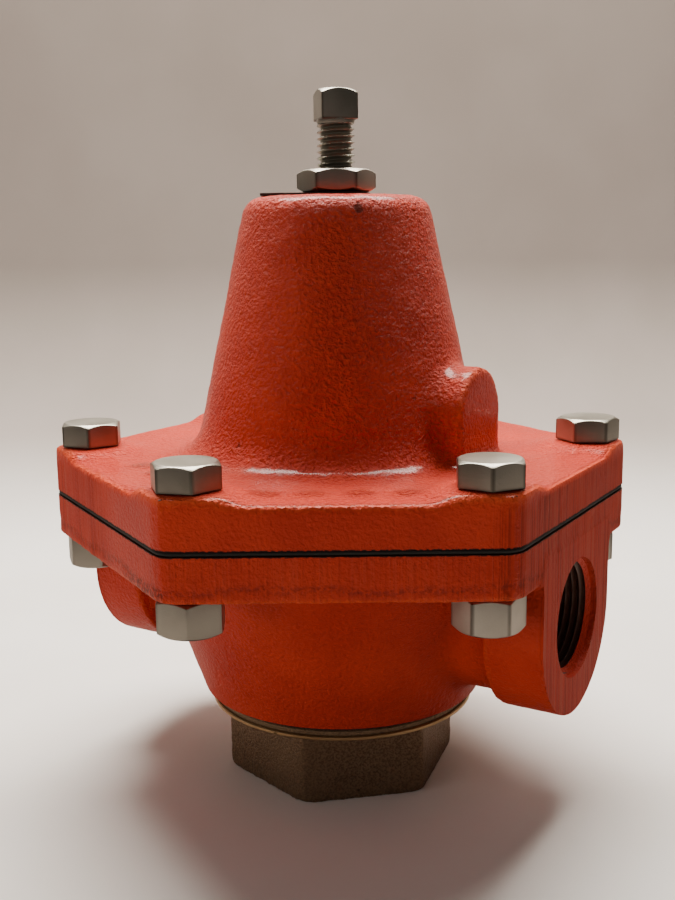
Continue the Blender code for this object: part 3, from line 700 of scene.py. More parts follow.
# %% Red casting paint
def red_paint():
    made, tree, shader = new_finish("casting_red", 0.5)
    shader.inputs["Specular IOR Level"].default_value = 0.15
    shader.inputs["Coat Roughness"].default_value = 0.17
    grain = placed(tree, cast_grain, grain_size=0.92 * MM, pit_size=7.5 * MM, pit_share=0.13)
    lines = placed(tree, grind_lines, line_width=0.42 * MM, line_length=90 * MM)
    wear = placed(tree, edge_wear, edge=stored(tree, "edge"), breakup=grain["Height"],
                  rubbed_from=0.14 * MM, rubbed_to=0.42 * MM)
    ground = stored(tree, "ground")
    coarse = stored(tree, "coarse")

    colour = mixed(tree, between(tree, grain["Blotches"], 0.35, 0.68),
                   (0.55, 0.036, 0.019), (0.66, 0.052, 0.025))
    peak = calc(tree, "MULTIPLY", between(tree, grain["Height"], 0.42, 0.66), coarse)
    colour = layer(tree, colour, peak, 0.35, (0.86, 0.095, 0.036))
    colour = layer(tree, colour, wear["Rubbed"], 0.5, (0.86, 0.13, 0.040))
    colour = layer(tree, colour, wear["Hollow"], 0.5, (0.24, 0.012, 0.005))
    streaks = calc(tree, "MULTIPLY_ADD", lines["Bands"], 0.7, lines["Lines"])
    dusty = calc(tree, "MULTIPLY", ground, between(tree, streaks, 0.78, 1.05))
    colour = layer(tree, colour, dusty, 0.55, (0.50, 0.10, 0.06))
    scored = calc(tree, "MULTIPLY", ground, between(tree, streaks, 0.82, 0.66))
    colour = layer(tree, colour, scored, 0.6, (0.20, 0.020, 0.010))
    colour = layer(tree, colour, grain["Pits"], 0.8, (0.09, 0.012, 0.006))
    colour = mixed(tree, wear["Chipped"], colour, (0.05, 0.022, 0.015))
    # Darker where the mesh stores it: in the parting line, at the flange's front left corner, and as
    # painted shade along the joint's edge.
    soot = calc(tree, "MULTIPLY", stored(tree, "soot"), between(tree, grain["Height"], 0.62, 0.40))
    colour = layer(tree, colour, soot, 0.85, (0.055, 0.014, 0.009))
    feed(tree, shader.inputs["Base Color"], colour)

    rough = calc(tree, "MULTIPLY_ADD", grain["Blotches"], 0.20, 0.38)
    rough = calc(tree, "MULTIPLY_ADD", ground, 0.14, rough)
    feed(tree, shader.inputs["Roughness"], calc(tree, "MULTIPLY_ADD", grain["Pits"], 0.3, rough))
    shine = calc(tree, "MULTIPLY_ADD", coarse, 0.22, 0.06, clamp=True)
    shine = calc(tree, "MULTIPLY_ADD", ground, -0.13, shine, clamp=True)
    feed(tree, shader.inputs["Coat Weight"], shine)

    depth = calc(tree, "MULTIPLY_ADD", coarse, 0.75, 0.25)
    skin = calc(tree, "MULTIPLY", grain["Height"], calc(tree, "MULTIPLY_ADD", ground, -0.2, depth))
    skin = calc(tree, "MULTIPLY_ADD", calc(tree, "MULTIPLY", lines["Lines"], ground), 0.35, skin)
    skin = calc(tree, "MULTIPLY_ADD", grain["Pits"], -0.3, skin)
    bumped(tree, shader, skin, 1.9 * MM)
    return made


casting_red = red_paint()


# %% [markdown]
# ### Bare metals, rubber and fibre
#
# The fasteners are zinc plated: a soft grey metal whose edges are bright where spanners rub it,
# and darker at its corners and at a head's foot. The plug is a rough bronze casting gone brown.
# Springs and brass are inside, and still need a turned look in case the valve is shown opened.

# %% Metals
def plated(name, pale, dark, roughness, scuff=6 * MM):
    """A metal with soft blotches, small scuffs, and darkening where the mesh stores it."""
    made, tree, shader = new_finish(name, roughness, 1.0)
    grain = placed(tree, cast_grain, grain_size=0.5 * MM, pit_size=scuff, pit_share=0.3, seed=3.0)
    blotch = between(tree, grain["Blotches"], 0.3, 0.7)
    colour = mixed(tree, blotch, dark, pale)
    colour = layer(tree, colour, grain["Pits"], 0.7, tuple(part * 0.35 for part in dark))
    dark_share = calc(tree, "MULTIPLY", stored(tree, "grime"), between(tree, grain["Blotches"], 0.25, 0.6))
    colour = layer(tree, colour, dark_share, 0.85, (0.035, 0.028, 0.022))
    feed(tree, shader.inputs["Base Color"], colour)
    rough = calc(tree, "MULTIPLY_ADD", grain["Blotches"], 0.25, roughness - 0.1)
    feed(tree, shader.inputs["Roughness"], calc(tree, "MULTIPLY_ADD", grain["Pits"], 0.3, rough))
    skin = calc(tree, "MULTIPLY_ADD", grain["Pits"], -0.8, grain["Height"])
    bumped(tree, shader, skin, 0.045 * MM)
    return made


zinc = plated("zinc_plate_worn", (0.42, 0.40, 0.35), (0.25, 0.24, 0.20), 0.36)
thread_zinc = plated("zinc_plate_thread", (0.34, 0.33, 0.28), (0.18, 0.175, 0.145), 0.32)
spring_wire = plated("spring_wire", (0.34, 0.34, 0.35), (0.20, 0.20, 0.21), 0.36)
# The nuts take a paler copy of the bolts' zinc, with finer scuffs: its paleness is painted reflection
# of the bright floor.
nut_zinc_floor_lit = plated("zinc_plate_grainy", (0.62, 0.60, 0.54), (0.38, 0.365, 0.32), 0.46, 2.5 * MM)
turned_brass = plated("turned_brass", (0.72, 0.50, 0.22), (0.55, 0.36, 0.14), 0.28)


def cast_bronze():
    made, tree, shader = new_finish("cast_bronze_brown", 0.5, 0.7)
    grain = placed(tree, cast_grain, grain_size=0.55 * MM, pit_size=2.4 * MM, pit_share=0.35, seed=7.0)
    wear = placed(tree, edge_wear, edge=stored(tree, "edge"), breakup=grain["Height"])
    colour = mixed(tree, between(tree, grain["Height"], 0.35, 0.65),
                   (0.17, 0.105, 0.062), (0.32, 0.205, 0.125))
    colour = mixed(tree, between(tree, grain["Blotches"], 0.40, 0.70), colour, (0.30, 0.20, 0.12))
    colour = layer(tree, colour, grain["Pits"], 0.6, (0.05, 0.028, 0.018))
    colour = layer(tree, colour, wear["Rubbed"], 0.6, (0.46, 0.31, 0.17))
    feed(tree, shader.inputs["Base Color"], colour)
    feed(tree, shader.inputs["Roughness"], calc(tree, "MULTIPLY_ADD", grain["Blotches"], 0.25, 0.36))
    skin = calc(tree, "MULTIPLY_ADD", grain["Pits"], -0.5, grain["Height"])
    bumped(tree, shader, skin, 0.35 * MM)
    return made


def soft_finish(name, low, high, roughness, size, depth):
    """Rubber or pressed fibre: two near colours and a fine tooth."""
    made, tree, shader = new_finish(name, roughness)
    grain = placed(tree, cast_grain, grain_size=size, pit_size=4 * size, pit_share=0.2, seed=5.0)
    feed(tree, shader.inputs["Base Color"], mixed(tree, grain["Height"], low, high))
    rough = calc(tree, "MULTIPLY_ADD", grain["Blotches"], 0.2, roughness - 0.1)
    feed(tree, shader.inputs["Roughness"], rough)
    bumped(tree, shader, grain["Height"], depth)
    return made


bronze = cast_bronze()
machined_bronze = plated("machined_bronze", (0.62, 0.42, 0.22), (0.38, 0.24, 0.12), 0.36)
rubber = soft_finish("black_rubber_sheet", (0.008, 0.008, 0.008), (0.02, 0.02, 0.019), 0.62,
                     0.6 * MM, 0.03 * MM)
fibre = soft_finish("gasket_fibre_brown", (0.016, 0.009, 0.007), (0.05, 0.024, 0.017), 0.75,
                    0.5 * MM, 0.05 * MM)
blackened = soft_finish("blackened_tag", (0.012, 0.012, 0.012), (0.035, 0.033, 0.03), 0.45,
                        0.8 * MM, 0.03 * MM)
thread_iron = soft_finish("cut_iron_thread", (0.045, 0.020, 0.014), (0.14, 0.055, 0.036), 0.42,
                          0.9 * MM, 0.05 * MM)
print("finishes:", [made.name for made in bpy.data.materials][:12])


# %% [markdown]
# ## The spring chamber
#
# The upper casting is a tapered chimney on a hexagonal flange, with a blank boss on its right
# side and a raised pad under each bolt. The plain shapes overlap and are fused. Then the pads
# are lifted as soft rises in the flange's top, the skin tree works the surface, and only after
# that are the machined faces cut, so they stay crisp.

# %% Where the bolts are
bolt_nodes = [f"flange_bolt_{number}" for number in range(1, 7)]
nut_nodes = [f"flange_nut_{number}" for number in range(1, 7)]


def axis_and_turn(name):
    """The upright axis of a six-sided CAD piece, and the direction of one of its corners."""
    low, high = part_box(name)
    centre = (low + high) / 2
    far = max(frame["nodes"][name].data.vertices, key=lambda vert: (vert.co - centre).xy.length).co
    return Vector((centre.x, centre.y, 0)), math.atan2(far.y - centre.y, far.x - centre.x)


bolt_axes = [axis_and_turn(name) for name in bolt_nodes]
bolt_circle = bolt_axes[0][0].length
bolt_hole_radius = 5.4 * MM
print("bolt circle radius", round(bolt_circle * 1000, 2), "mm")


def bolt_distance(points):
    """How far each point is from the nearest bolt's axis."""
    gaps = [np.hypot(points[:, 0] - axis.x, points[:, 1] - axis.y) for axis, _ in bolt_axes]
    return np.min(gaps, axis=0)


def bolt_holes(name, bottom, top):
    """Six plain rods on the bolt axes, as one cutter."""
    rods = [rod(name, bolt_hole_radius, bottom, top, 32) for _ in bolt_axes]
    for mesh, (axis, _) in zip(rods, bolt_axes):
        mesh.transform(Matrix.Translation(axis))
    return joined(name, rods)


# %% [markdown]
# ### Rough shape first
#
# A foundry pours more metal than the finished piece keeps. The rough shape runs a few millimetres
# past every face that is machined later. What the paint needs to know, such as where a side was
# ground and where dirt stayed, is stored on the points as plain numbers.

# %% Spring chamber shape
cone_taper = math.radians(12.55)
cone_top_radius = 23.1 * MM
shoulder_radius = 5.0 * MM
flare_radius = 9.0 * MM
cone_base_radius = cone_top_radius + (cone_top - cover_flange_top) * math.tan(cone_taper)
boss_face = 40.5 * MM
boss_radius = 12.3 * MM
boss_height = cover_base + 20.9 * MM
casting_voxel = 0.95 * MM
spare = 3.0 * MM              # how far rough shapes run past a face that is machined later


def cone_shape():
    tilt = math.degrees(cone_taper)
    half = math.radians(90 - tilt) / 2
    shoulder = (cone_top_radius - shoulder_radius * math.tan(half), cone_top - shoulder_radius)
    flare = (cone_base_radius + flare_radius * math.tan(half), cover_flange_top + flare_radius)
    return turned("cone", [(0, cone_top)] + arc(shoulder, shoulder_radius, 90, tilt)
                  + arc(flare, flare_radius, 180 + tilt, 270)
                  + [(flare[0], cover_base), (0, cover_base)], 160)


def arched_block(name, radius, spring_line, foot, near, far, side=1, upward=True):
    """A block along X with one half-round end and one straight end, like a tombstone."""
    away = 1 if upward else -1
    outline = [(radius, foot)]
    for step in range(33):
        angle = math.pi * step / 32
        outline.append((radius * math.cos(angle), spring_line + away * radius * math.sin(angle)))
    outline.append((-radius, foot))
    shape = bmesh.new()
    rings = [[shape.verts.new((side * x, y, z)) for y, z in outline] for x in (near, far)]
    shape.faces.new(rings[0])
    shape.faces.new(rings[1])
    for index in range(len(outline)):
        after = (index + 1) % len(outline)
        shape.faces.new((rings[0][index], rings[0][after], rings[1][after], rings[1][index]))
    return mesh_of(shape, name)


def raise_pads(mesh):
    """Lifts the flange's top round each bolt, with a soft slope."""
    points = points_of(mesh)
    near_bolt = 1 - ease(bolt_distance(points), 9.6 * MM, 15.5 * MM)
    near_top = ease(points[:, 2], cover_flange_top - 3 * MM, cover_flange_top)
    outside = ease(np.hypot(points[:, 0], points[:, 1]), 44 * MM, 50 * MM)
    points[:, 2] += (bolt_seat - cover_flange_top) * near_bolt * near_top * outside
    set_points(mesh, points)


def lump_share(points):
    """1 on the small rough lumps on the flange's top, where the mould was damaged."""
    share = np.zeros(len(points))
    for heading, reach, first, count in ((-60, 54.5, -16.5, 4), (-120, 52.0, -6.0, 3)):
        out = Vector((math.cos(math.radians(heading)), math.sin(math.radians(heading)), 0))
        across = Vector((-out.y, out.x, 0))
        for index in range(count):
            spot = out * reach * MM + across * (first + index * 10.6) * MM
            gap = np.hypot(points[:, 0] - spot.x, points[:, 1] - spot.y)
            share = np.maximum(share, 1 - ease(gap, 1.4 * MM, 4.2 * MM))
    return share * ease(points[:, 2], cover_flange_top - 1.5 * MM, cover_flange_top - 0.3 * MM)


def raise_lumps(mesh):
    points = points_of(mesh)
    points[:, 2] += 0.7 * MM * lump_share(points)
    set_points(mesh, points)


def mark_roughness(mesh, band, seat_height):
    """Stores how rough the skin is: full on cast faces, little on ground sides and seats."""
    points = points_of(mesh)
    ground = side_share(points, 1.2 * MM, 0.5 * MM)
    upright = ease(points[:, 2], band[0], band[0] + 2 * MM) * (
        1 - ease(points[:, 2], band[1] - 1 * MM, band[1] + 1 * MM))
    rough = 1 - 0.85 * ground * upright
    seat = (1 - ease(bolt_distance(points), 8.5 * MM, 11 * MM)) * (
        np.abs(points[:, 2] - seat_height) < 1.5 * MM)
    store_points(mesh, "rough", rough * (1 - 0.9 * seat))


def mark_ground(mesh, band, least=0.0):
    """Stores how hard each side was ground, for the paint's fine lines. The ends got the most."""
    points = points_of(mesh)
    ground = side_share(points, 0.9 * MM, 0.35 * MM)
    upright = ease(points[:, 2], band[0], band[0] + 1.5 * MM) * (
        1 - ease(points[:, 2], band[1] - 1.2 * MM, band[1]))
    faces_x = np.abs(points[:, 0]) / np.hypot(points[:, 0], points[:, 1])
    left = ease(-points[:, 0], 22 * MM, 34 * MM) * ease(-points[:, 1], 20 * MM, 30 * MM)
    hardness = np.maximum(least + (1 - least) * ease(faces_x, 0.80, 0.88), 0.8 * left)
    store_points(mesh, "ground", ground * upright * hardness)


def mark_coarse(mesh, cast, sides):
    """Stores how coarse the grain is: cast faces first, then the flange's sides."""
    points = points_of(mesh)
    at_side = side_share(points, 2.2 * MM, 0.5 * MM)
    store_points(mesh, "coarse", cast + (sides - cast) * at_side + 1.8 * lump_share(points))


def near_parting_line(points, width):
    """1 on the wandering line where the two moulds met, fading over a width."""
    angles = np.arctan2(points[:, 1], points[:, 0])
    wander = 0.5 * MM * np.sin(angles * 9) + 0.35 * MM * np.sin(angles * 23 + 1.0)
    return np.exp(-((points[:, 2] - parting_height - wander) / width) ** 2)


def mark_parting_and_corner(mesh):
    """Stores where the paint is darker: in the parting line, where grit settles, and in a patch low on
    the flange's side at its front left corner.
    """
    points = points_of(mesh)
    line = 0.5 * near_parting_line(points, 0.8 * MM)
    left_corner = 0.8 * ease(-points[:, 1], 62 * MM, 69 * MM) * (points[:, 0] < 0) * (
        points[:, 2] < parting_height)
    store_points(mesh, "soot", np.maximum(line, left_corner) * side_share(points, 2.0 * MM, 0.6 * MM))


def mark_joint(mesh, joint):
    """Adds painted shade along the joint's edge, which makes the dark line of the rubber between the
    castings look wider.
    """
    points = points_of(mesh)
    soot = np.empty(len(points), np.float32)
    mesh.attributes["soot"].data.foreach_get("value", soot)
    rim = flange_flats / 2 - 2.5 * MM
    near = (np.abs(points[:, 2] - joint) < 0.05 * MM) & (flat_distance(points) > rim)
    store_points(mesh, "soot", np.maximum(soot, 2.5 * near))


def rough_cover():
    made = fused("spring_chamber_rough", [
        flange_hexagon(cover_base - spare, cover_flange_top),
        cone_shape(),
        arched_block("boss", boss_radius, boss_height, cover_flange_top - spare,
                     cone_top_radius - spare, boss_face)], casting_voxel)
    raise_pads(made.data)
    raise_lumps(made.data)
    mark_roughness(made.data, (cover_base - spare, cover_flange_top), bolt_seat)
    return skinned(made, "spring_chamber_cast", casting_red, fillet_steps=16, seed=1.0,
                   grain_height=0.20 * MM, lump_height=0.22 * MM)


# %% [markdown]
# ### Machining the spring chamber
#
# Booleans take off the joint face and cut the spring's space, the screw's hole, the vent and the
# bolt holes. Each cutter carries the finish of the surface that it leaves.

# %% Spring chamber machining
cone_wall = 5.6 * MM
cone_roof = 10.0 * MM
screw_radius = 0.1875 * INCH
screw_pitch = INCH / 16
screw_clearance = 0.35 * MM
chamber_radius = 46.0 * MM
far_out = 100 * MM


def slab(name, bottom, top):
    """A wide flat box, for machining a joint face."""
    return rod(name, far_out, bottom, top)


def spring_space():
    roof = cone_top - cone_roof
    slope = math.tan(cone_taper)
    side = cone_wall / math.cos(cone_taper)
    top_radius = cone_top_radius + cone_roof * slope - side
    recess = cover_base + 4.4 * MM
    low_radius = cone_top_radius + (cone_top - recess) * slope - side
    return turned("spring_space", [
        (0, roof), (top_radius - 2 * MM, roof), (top_radius, roof - 2 * MM), (low_radius, recess),
        (chamber_radius, recess), (chamber_radius, cover_base - spare), (0, cover_base - spare)])


def screw_hole():
    radius = screw_radius + screw_clearance
    chamfer = 0.6 * MM
    return turned("screw_hole", [
        (0, cone_top + spare), (radius + chamfer + spare, cone_top + spare),
        (radius, cone_top - chamfer), (radius, cone_top - cone_roof - spare),
        (0, cone_top - cone_roof - spare)], 48)


def vent_hole():
    hole = rod("vent_hole", 1.6 * MM, cone_top_radius / 2, cone_base_radius + spare)
    return laid_along_x(hole, cover_base + 26.0 * MM, -1)


cast_cover = rough_cover()
cutters = cut_with(cast_cover, [
    slab("cover_joint", cover_base - 10 * MM, cover_base), spring_space(), screw_hole(), vent_hole(),
    bolt_holes("cover_bolts", cover_base - spare, bolt_seat + spare)], thread_iron)
spring_chamber = settle(cast_cover, cutters, "spring_chamber_casting")
mark_ground(spring_chamber.data, (cover_base - spare, cover_flange_top - 0.4 * MM))
store_points(spring_chamber.data, "soot", np.zeros(len(spring_chamber.data.vertices)))
mark_coarse(spring_chamber.data, 1.0, 0.1)
mark_joint(spring_chamber.data, cover_base)
smooth(spring_chamber.data)
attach(spring_chamber, "housing")
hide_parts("spring_chamber")
report(spring_chamber)

# %% [markdown]
# ## The valve body
#
# The lower casting is a bowl under the matching flange, with a threaded port on each side. Its
# ports and flange ends were ground flat together. The pipe thread in each port is real geometry:
# the body is cut by a tapered, threaded plug, in the way that a tap cuts it.

# %% Geometry Nodes: a screw thread
def thread_tree():
    """A closed rod whose side is a helical thread, from a grid wrapped round the axis."""
    tree, given, ends = start_tree("screw_thread", "GeometryNodeTree", {
        "Radius": (FLOAT, 5 * MM), "Depth": (FLOAT, 0.8 * MM), "Pitch": (FLOAT, 1.5 * MM),
        "Bottom": (FLOAT, 0.0), "Top": (FLOAT, 20 * MM), "Point": (FLOAT, 0.8 * MM),
        "Taper": (FLOAT, 0.0), "Around": (INTEGER, 64), "Rows": (INTEGER, 200),
        "Finish": (MATERIAL, None)}, {"Geometry": GEOMETRY})
    grid = wired(tree, "GeometryNodeMeshGrid", {
        "Size X": 1.0, "Size Y": 1.0, "Vertices X": calc(tree, "ADD", given["Around"], 1.0),
        "Vertices Y": given["Rows"]})
    parts = parted(tree, node(tree, "GeometryNodeInputPosition").outputs[0])
    round_share = calc(tree, "ADD", parts[0], 0.5)
    row_share = calc(tree, "ADD", parts[1], 0.5)
    # The first and the last row are pulled in to the axis, and close the ends.
    one_row = calc(tree, "DIVIDE", 1.0, given["Rows"])
    inner = calc(tree, "DIVIDE", calc(tree, "SUBTRACT", row_share, one_row), calc(
        tree, "SUBTRACT", 1.0, calc(tree, "MULTIPLY", one_row, 2.0)), clamp=True)
    length = calc(tree, "SUBTRACT", given["Top"], given["Bottom"])
    above = calc(tree, "MULTIPLY", inner, length)
    height = calc(tree, "ADD", above, given["Bottom"])
    phase = calc(tree, "FRACT", calc(tree, "SUBTRACT", calc(
        tree, "DIVIDE", height, given["Pitch"]), round_share))
    valley = calc(tree, "ABSOLUTE", calc(tree, "MULTIPLY_ADD", phase, 2.0, -1.0))
    valley = calc(tree, "MULTIPLY_ADD", valley, 1.3, -0.12, clamp=True)
    radius = calc(tree, "SUBTRACT", given["Radius"], calc(tree, "MULTIPLY", valley, given["Depth"]))
    radius = calc(tree, "MULTIPLY_ADD", above, given["Taper"], radius)
    blunt = calc(tree, "SUBTRACT", given["Radius"], given["Point"])
    radius = calc(tree, "MINIMUM", radius, calc(tree, "ADD", blunt, above))
    radius = calc(tree, "MINIMUM", radius, calc(
        tree, "ADD", blunt, calc(tree, "SUBTRACT", length, above)))
    half_row = calc(tree, "MULTIPLY", one_row, 0.5)
    in_side = calc(tree, "MULTIPLY", calc(tree, "GREATER_THAN", row_share, half_row), calc(
        tree, "LESS_THAN", row_share, calc(tree, "SUBTRACT", 1.0, half_row)))
    radius = calc(tree, "MULTIPLY", radius, in_side)
    angle = calc(tree, "MULTIPLY", round_share, 2 * math.pi)
    wrapped = wired(tree, "GeometryNodeSetPosition", {
        "Geometry": grid, "Position": round_axis(tree, radius, angle, height)})
    welded = wired(tree, "GeometryNodeMergeByDistance", {
        "Geometry": wrapped, "Distance": 0.001 * MM})
    return end_tree(tree, welded, given["Finish"], ends)


screw_thread = thread_tree()


def threaded_rod(name, finish, **sizes):
    """A plain mesh of a threaded rod on the Z axis."""
    work = link_object(name, bpy.data.meshes.new(name))
    run_tree(work, screw_thread, finish=finish, **sizes)
    made = finished(work, name)
    mesh = made.data
    bpy.data.objects.remove(made)
    return close_up(mesh)


# %% [markdown]
# ### Body and ports
#
# The bowl, the flange, the collars and the necks are fused as before. A wandering ridge low on
# the flange's side shows where the two moulds met.

# %% Valve body shape
body_taper = math.radians(19.5)
base_radius = 37.0 * MM
under_radius = base_radius + (body_flange_bottom - body_base) * math.tan(body_taper)
port_boss_radius = 23.6 * MM
port_boss_length = 15.0 * MM
port_neck_radius = 20.6 * MM
neck_root = 33.0 * MM


def bowl_shape():
    low = body_base - spare
    low_radius = base_radius - spare * math.tan(body_taper)
    return turned("bowl", [(0, body_flange_bottom + spare), (under_radius, body_flange_bottom + spare),
                           (under_radius, body_flange_bottom), (low_radius, low), (0, low)], 160)


def port_shapes(side):
    """A port's collar and the thinner neck behind it, both running up into the flange."""
    foot = body_flange_bottom + spare
    back = port_face - port_boss_length
    return [arched_block("collar", port_boss_radius, port_height, foot, back, port_face + spare,
                         side, upward=False),
            arched_block("neck", port_neck_radius, port_height, foot, neck_root, back + spare,
                         side, upward=False)]


def parting_ridge(mesh):
    """A rough line round the lower third of the flange's side, where the moulds met."""
    points = points_of(mesh)
    angles = np.arctan2(points[:, 1], points[:, 0])
    broken = 0.55 + 0.45 * np.sin(angles * 57) * np.sin(angles * 31 + 2.0)
    reach = np.hypot(points[:, 0], points[:, 1])
    line = near_parting_line(points, 0.9 * MM) * side_share(points, 1.5 * MM, 0.5 * MM)
    shift = 0.5 * MM * line * broken / reach
    points[:, 0] -= points[:, 0] * shift
    points[:, 1] -= points[:, 1] * shift
    set_points(mesh, points)


def rough_body():
    made = fused("valve_body_rough", [
        flange_hexagon(body_flange_bottom, body_top + spare),
        bowl_shape(), *port_shapes(1), *port_shapes(-1)], casting_voxel)
    parting_ridge(made.data)
    mark_roughness(made.data, (body_flange_bottom + 4.5 * MM, body_top + spare),
                   body_flange_bottom)
    return skinned(made, "valve_body_cast", casting_red, fillet_steps=16, seed=4.0,
                   grain_height=0.17 * MM, lump_height=0.24 * MM)


# %% [markdown]
# ### Machining the body
#
# The order doesn't matter to the result, since every cutter is a closed shape of its own. The
# ports' mouths keep their paint, and the threads are bare iron.

# %% Valve body machining
cavity_radius = 30.0 * MM
partition_bottom = body_base + 23.5 * MM
partition_top = partition_bottom + 8.0 * MM
spigot_radius = 26.5 * MM
seat_hole_radius = 13.85 * MM
window_radius = 7.4 * MM
port_bore = 12.4 * MM
port_depth = 28.0 * MM
pipe_pitch = INCH / 14
pipe_thread_depth = 1.15 * MM
pipe_thread_length = 15 * MM
mouth_radius = 14.6 * MM
mouth_depth = 1.4 * MM


def body_hollows():
    chamber_floor = body_top - 8.2 * MM
    upper = turned("upper_cavity", [
        (0, body_top + spare), (chamber_radius, body_top + spare), (chamber_radius, chamber_floor),
        (cavity_radius, chamber_floor), (cavity_radius, partition_top), (0, partition_top)])
    lower = turned("lower_cavity", [
        (0, partition_bottom), (cavity_radius, partition_bottom), (cavity_radius, body_base + 9 * MM),
        (spigot_radius + screw_clearance, body_base + 9 * MM),
        (spigot_radius + screw_clearance, body_base - spare), (0, body_base - spare)])
    seat = rod("seat_hole", seat_hole_radius, partition_bottom - 1 * MM, partition_top + 1 * MM, 64)
    return [upper, lower, seat]


def port_cutters(side):
    """The mouth's smooth chamfer, the tapered pipe thread, the plain bore and its window."""
    end = port_face - port_depth
    thread_top = port_face + 1 * MM
    mouth = turned("mouth", [
        (0, port_face + spare), (mouth_radius + spare * 0.4, port_face + spare),
        (mouth_radius, port_face), (mouth_radius - 0.25 * MM, port_face - mouth_depth),
        (port_bore, port_face - mouth_depth - 1.6 * MM), (0, port_face - mouth_depth - 1.6 * MM)], 96)
    thread = threaded_rod("pipe_thread", thread_iron, radius=port_bore + pipe_thread_depth,
                          depth=pipe_thread_depth, pitch=pipe_pitch,
                          bottom=thread_top - pipe_thread_length, top=thread_top,
                          point=pipe_thread_depth, taper=1 / 32, around=96, rows=150)
    bore = rod("bore", port_bore - 0.02 * MM, end, port_face - 6 * MM, 96)
    level = partition_top + window_radius if side > 0 else partition_bottom - window_radius
    window = rod("window", window_radius, cavity_radius - 8 * MM, end + 7 * MM, 48)
    mouth.materials.append(casting_red)
    return [laid_along_x(mesh, port_height, side) for mesh in (mouth, thread, bore)] + [
        laid_along_x(window, level, side)]


def side_slab(side):
    """What the grinder takes off a port's face."""
    mesh = rod("port_grind", far_out, port_face, far_out)
    mesh.materials.append(casting_red)
    return laid_along_x(mesh, port_height, side)


cast_body = rough_body()
cutters = cut_with(cast_body, [
    slab("body_joint", body_top, body_top + 10 * MM), slab("body_foot", body_base - 10 * MM, body_base),
    side_slab(1), side_slab(-1), *body_hollows(), *port_cutters(1), *port_cutters(-1),
    bolt_holes("body_bolts", body_flange_bottom - spare, body_top + spare)], thread_iron)
valve_body = settle(cast_body, cutters, "valve_body_casting")
mark_ground(valve_body.data, (body_base, body_top + spare), 0.25)
mark_parting_and_corner(valve_body.data)
mark_coarse(valve_body.data, 0.22, 0.2)
mark_joint(valve_body.data, body_top)
smooth(valve_body.data)
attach(valve_body, "housing")
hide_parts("valve_body")
report(valve_body)

# %% [markdown]
# ## Bolts and nuts
#
# Six bolts clamp the flanges. Each head is a hexagon whose corners were turned off at thirty
# degrees, which leaves a flat disc and a bright curved edge. One bolt and one nut are modelled.
# A Geometry Nodes tree then sets them on the bolt circle, each with the turn that its own CAD
# piece has, read from a number stored on each point.

# %% Geometry Nodes: one fastener at every bolt
def fastener_tree():
    tree, given, ends = start_tree("set_on_bolts", "GeometryNodeTree", {
        "Geometry": (GEOMETRY, None), "Fastener": ("NodeSocketObject", None),
        "Finish": (MATERIAL, None)}, {"Geometry": GEOMETRY})
    turn_at = wired(tree, "GeometryNodeInputNamedAttribute", {"Name": "turn"}, data_type="FLOAT")
    source = node(tree, "GeometryNodeObjectInfo")
    feed(tree, source.inputs["Object"], given["Fastener"])
    spots = wired(tree, "GeometryNodeMeshToPoints", {"Mesh": given["Geometry"]})
    copies = wired(tree, "GeometryNodeInstanceOnPoints", {
        "Points": spots, "Instance": source.outputs["Geometry"],
        "Rotation": combined(tree, 0.0, 0.0, turn_at)})
    return end_tree(tree, copies, given["Finish"], ends)


set_on_bolts = fastener_tree()


# %% [markdown]
# ### Heads and nuts
#
# The chamfer is a cone, so it bites deepest at the corners. The outline of a head is therefore
# worked out again at each angle, from how far the side stands from the axis there.

# %% Heads and nuts
chamfer_slope = math.tan(math.radians(30))
facet_crease = 28             # degrees: keeps the chamfer crisp and its small rounds soft
worn_edge = 0.16 * MM         # the small round that handling leaves on a hard edge


def head_rows(side, flats, bottom, top, both_ends=False, bore=0.0):
    """The outline of a head or nut where its side stands at this distance from the axis."""
    disc = flats / 2 * 0.95
    drop = max(side - disc, 0.0) * chamfer_slope
    bite = min(worn_edge, max(side - disc, 0.02 * MM))
    rows = [(bore, top), ((bore + disc) / 2, top), (disc - worn_edge, top),
            (disc, top - 0.02 * MM), (disc + bite * 0.5, top - bite * 0.5 * chamfer_slope - 0.03 * MM),
            ((disc + side) / 2, top - drop / 2), (side - bite * 0.6, top - drop + bite * 0.3),
            (side - 0.03 * MM, top - drop - 0.03 * MM), (side, top - drop - worn_edge)]
    if both_ends:
        mirrored = [(radius, bottom + top - height) for radius, height in reversed(rows)]
        return rows + mirrored
    return rows + [(side, bottom + 0.6 * MM), (side, bottom + worn_edge), (side - worn_edge, bottom),
                   (0, bottom)]


def faceted_head(name, sides, flats, bottom, top, both_ends=False, bore=0.0, corner=0.3 * MM):
    """A chamfered head, or a nut when it has a bore."""
    def rows(angle):
        side = flats_radius(angle, sides, flats, corner)
        return head_rows(side, flats, bottom, top, both_ends, bore)
    mesh = carried_round(name, rows, around=sides * 24, ring=bore > 0)
    points = points_of(mesh)
    reach = np.hypot(points[:, 0], points[:, 1])
    sharp_corner = flats / 2 / math.cos(math.pi / sides)
    # Darker near the corners, and on a head's foot where it sits on the flange.
    grime = 0.9 * ease(reach, sharp_corner - 0.32 * MM, sharp_corner - 0.12 * MM)
    if not both_ends:
        grime = np.maximum(grime, 1 - ease(points[:, 2], bottom, bottom + 0.5 * MM))
    store_points(mesh, "grime", grime)
    return mesh


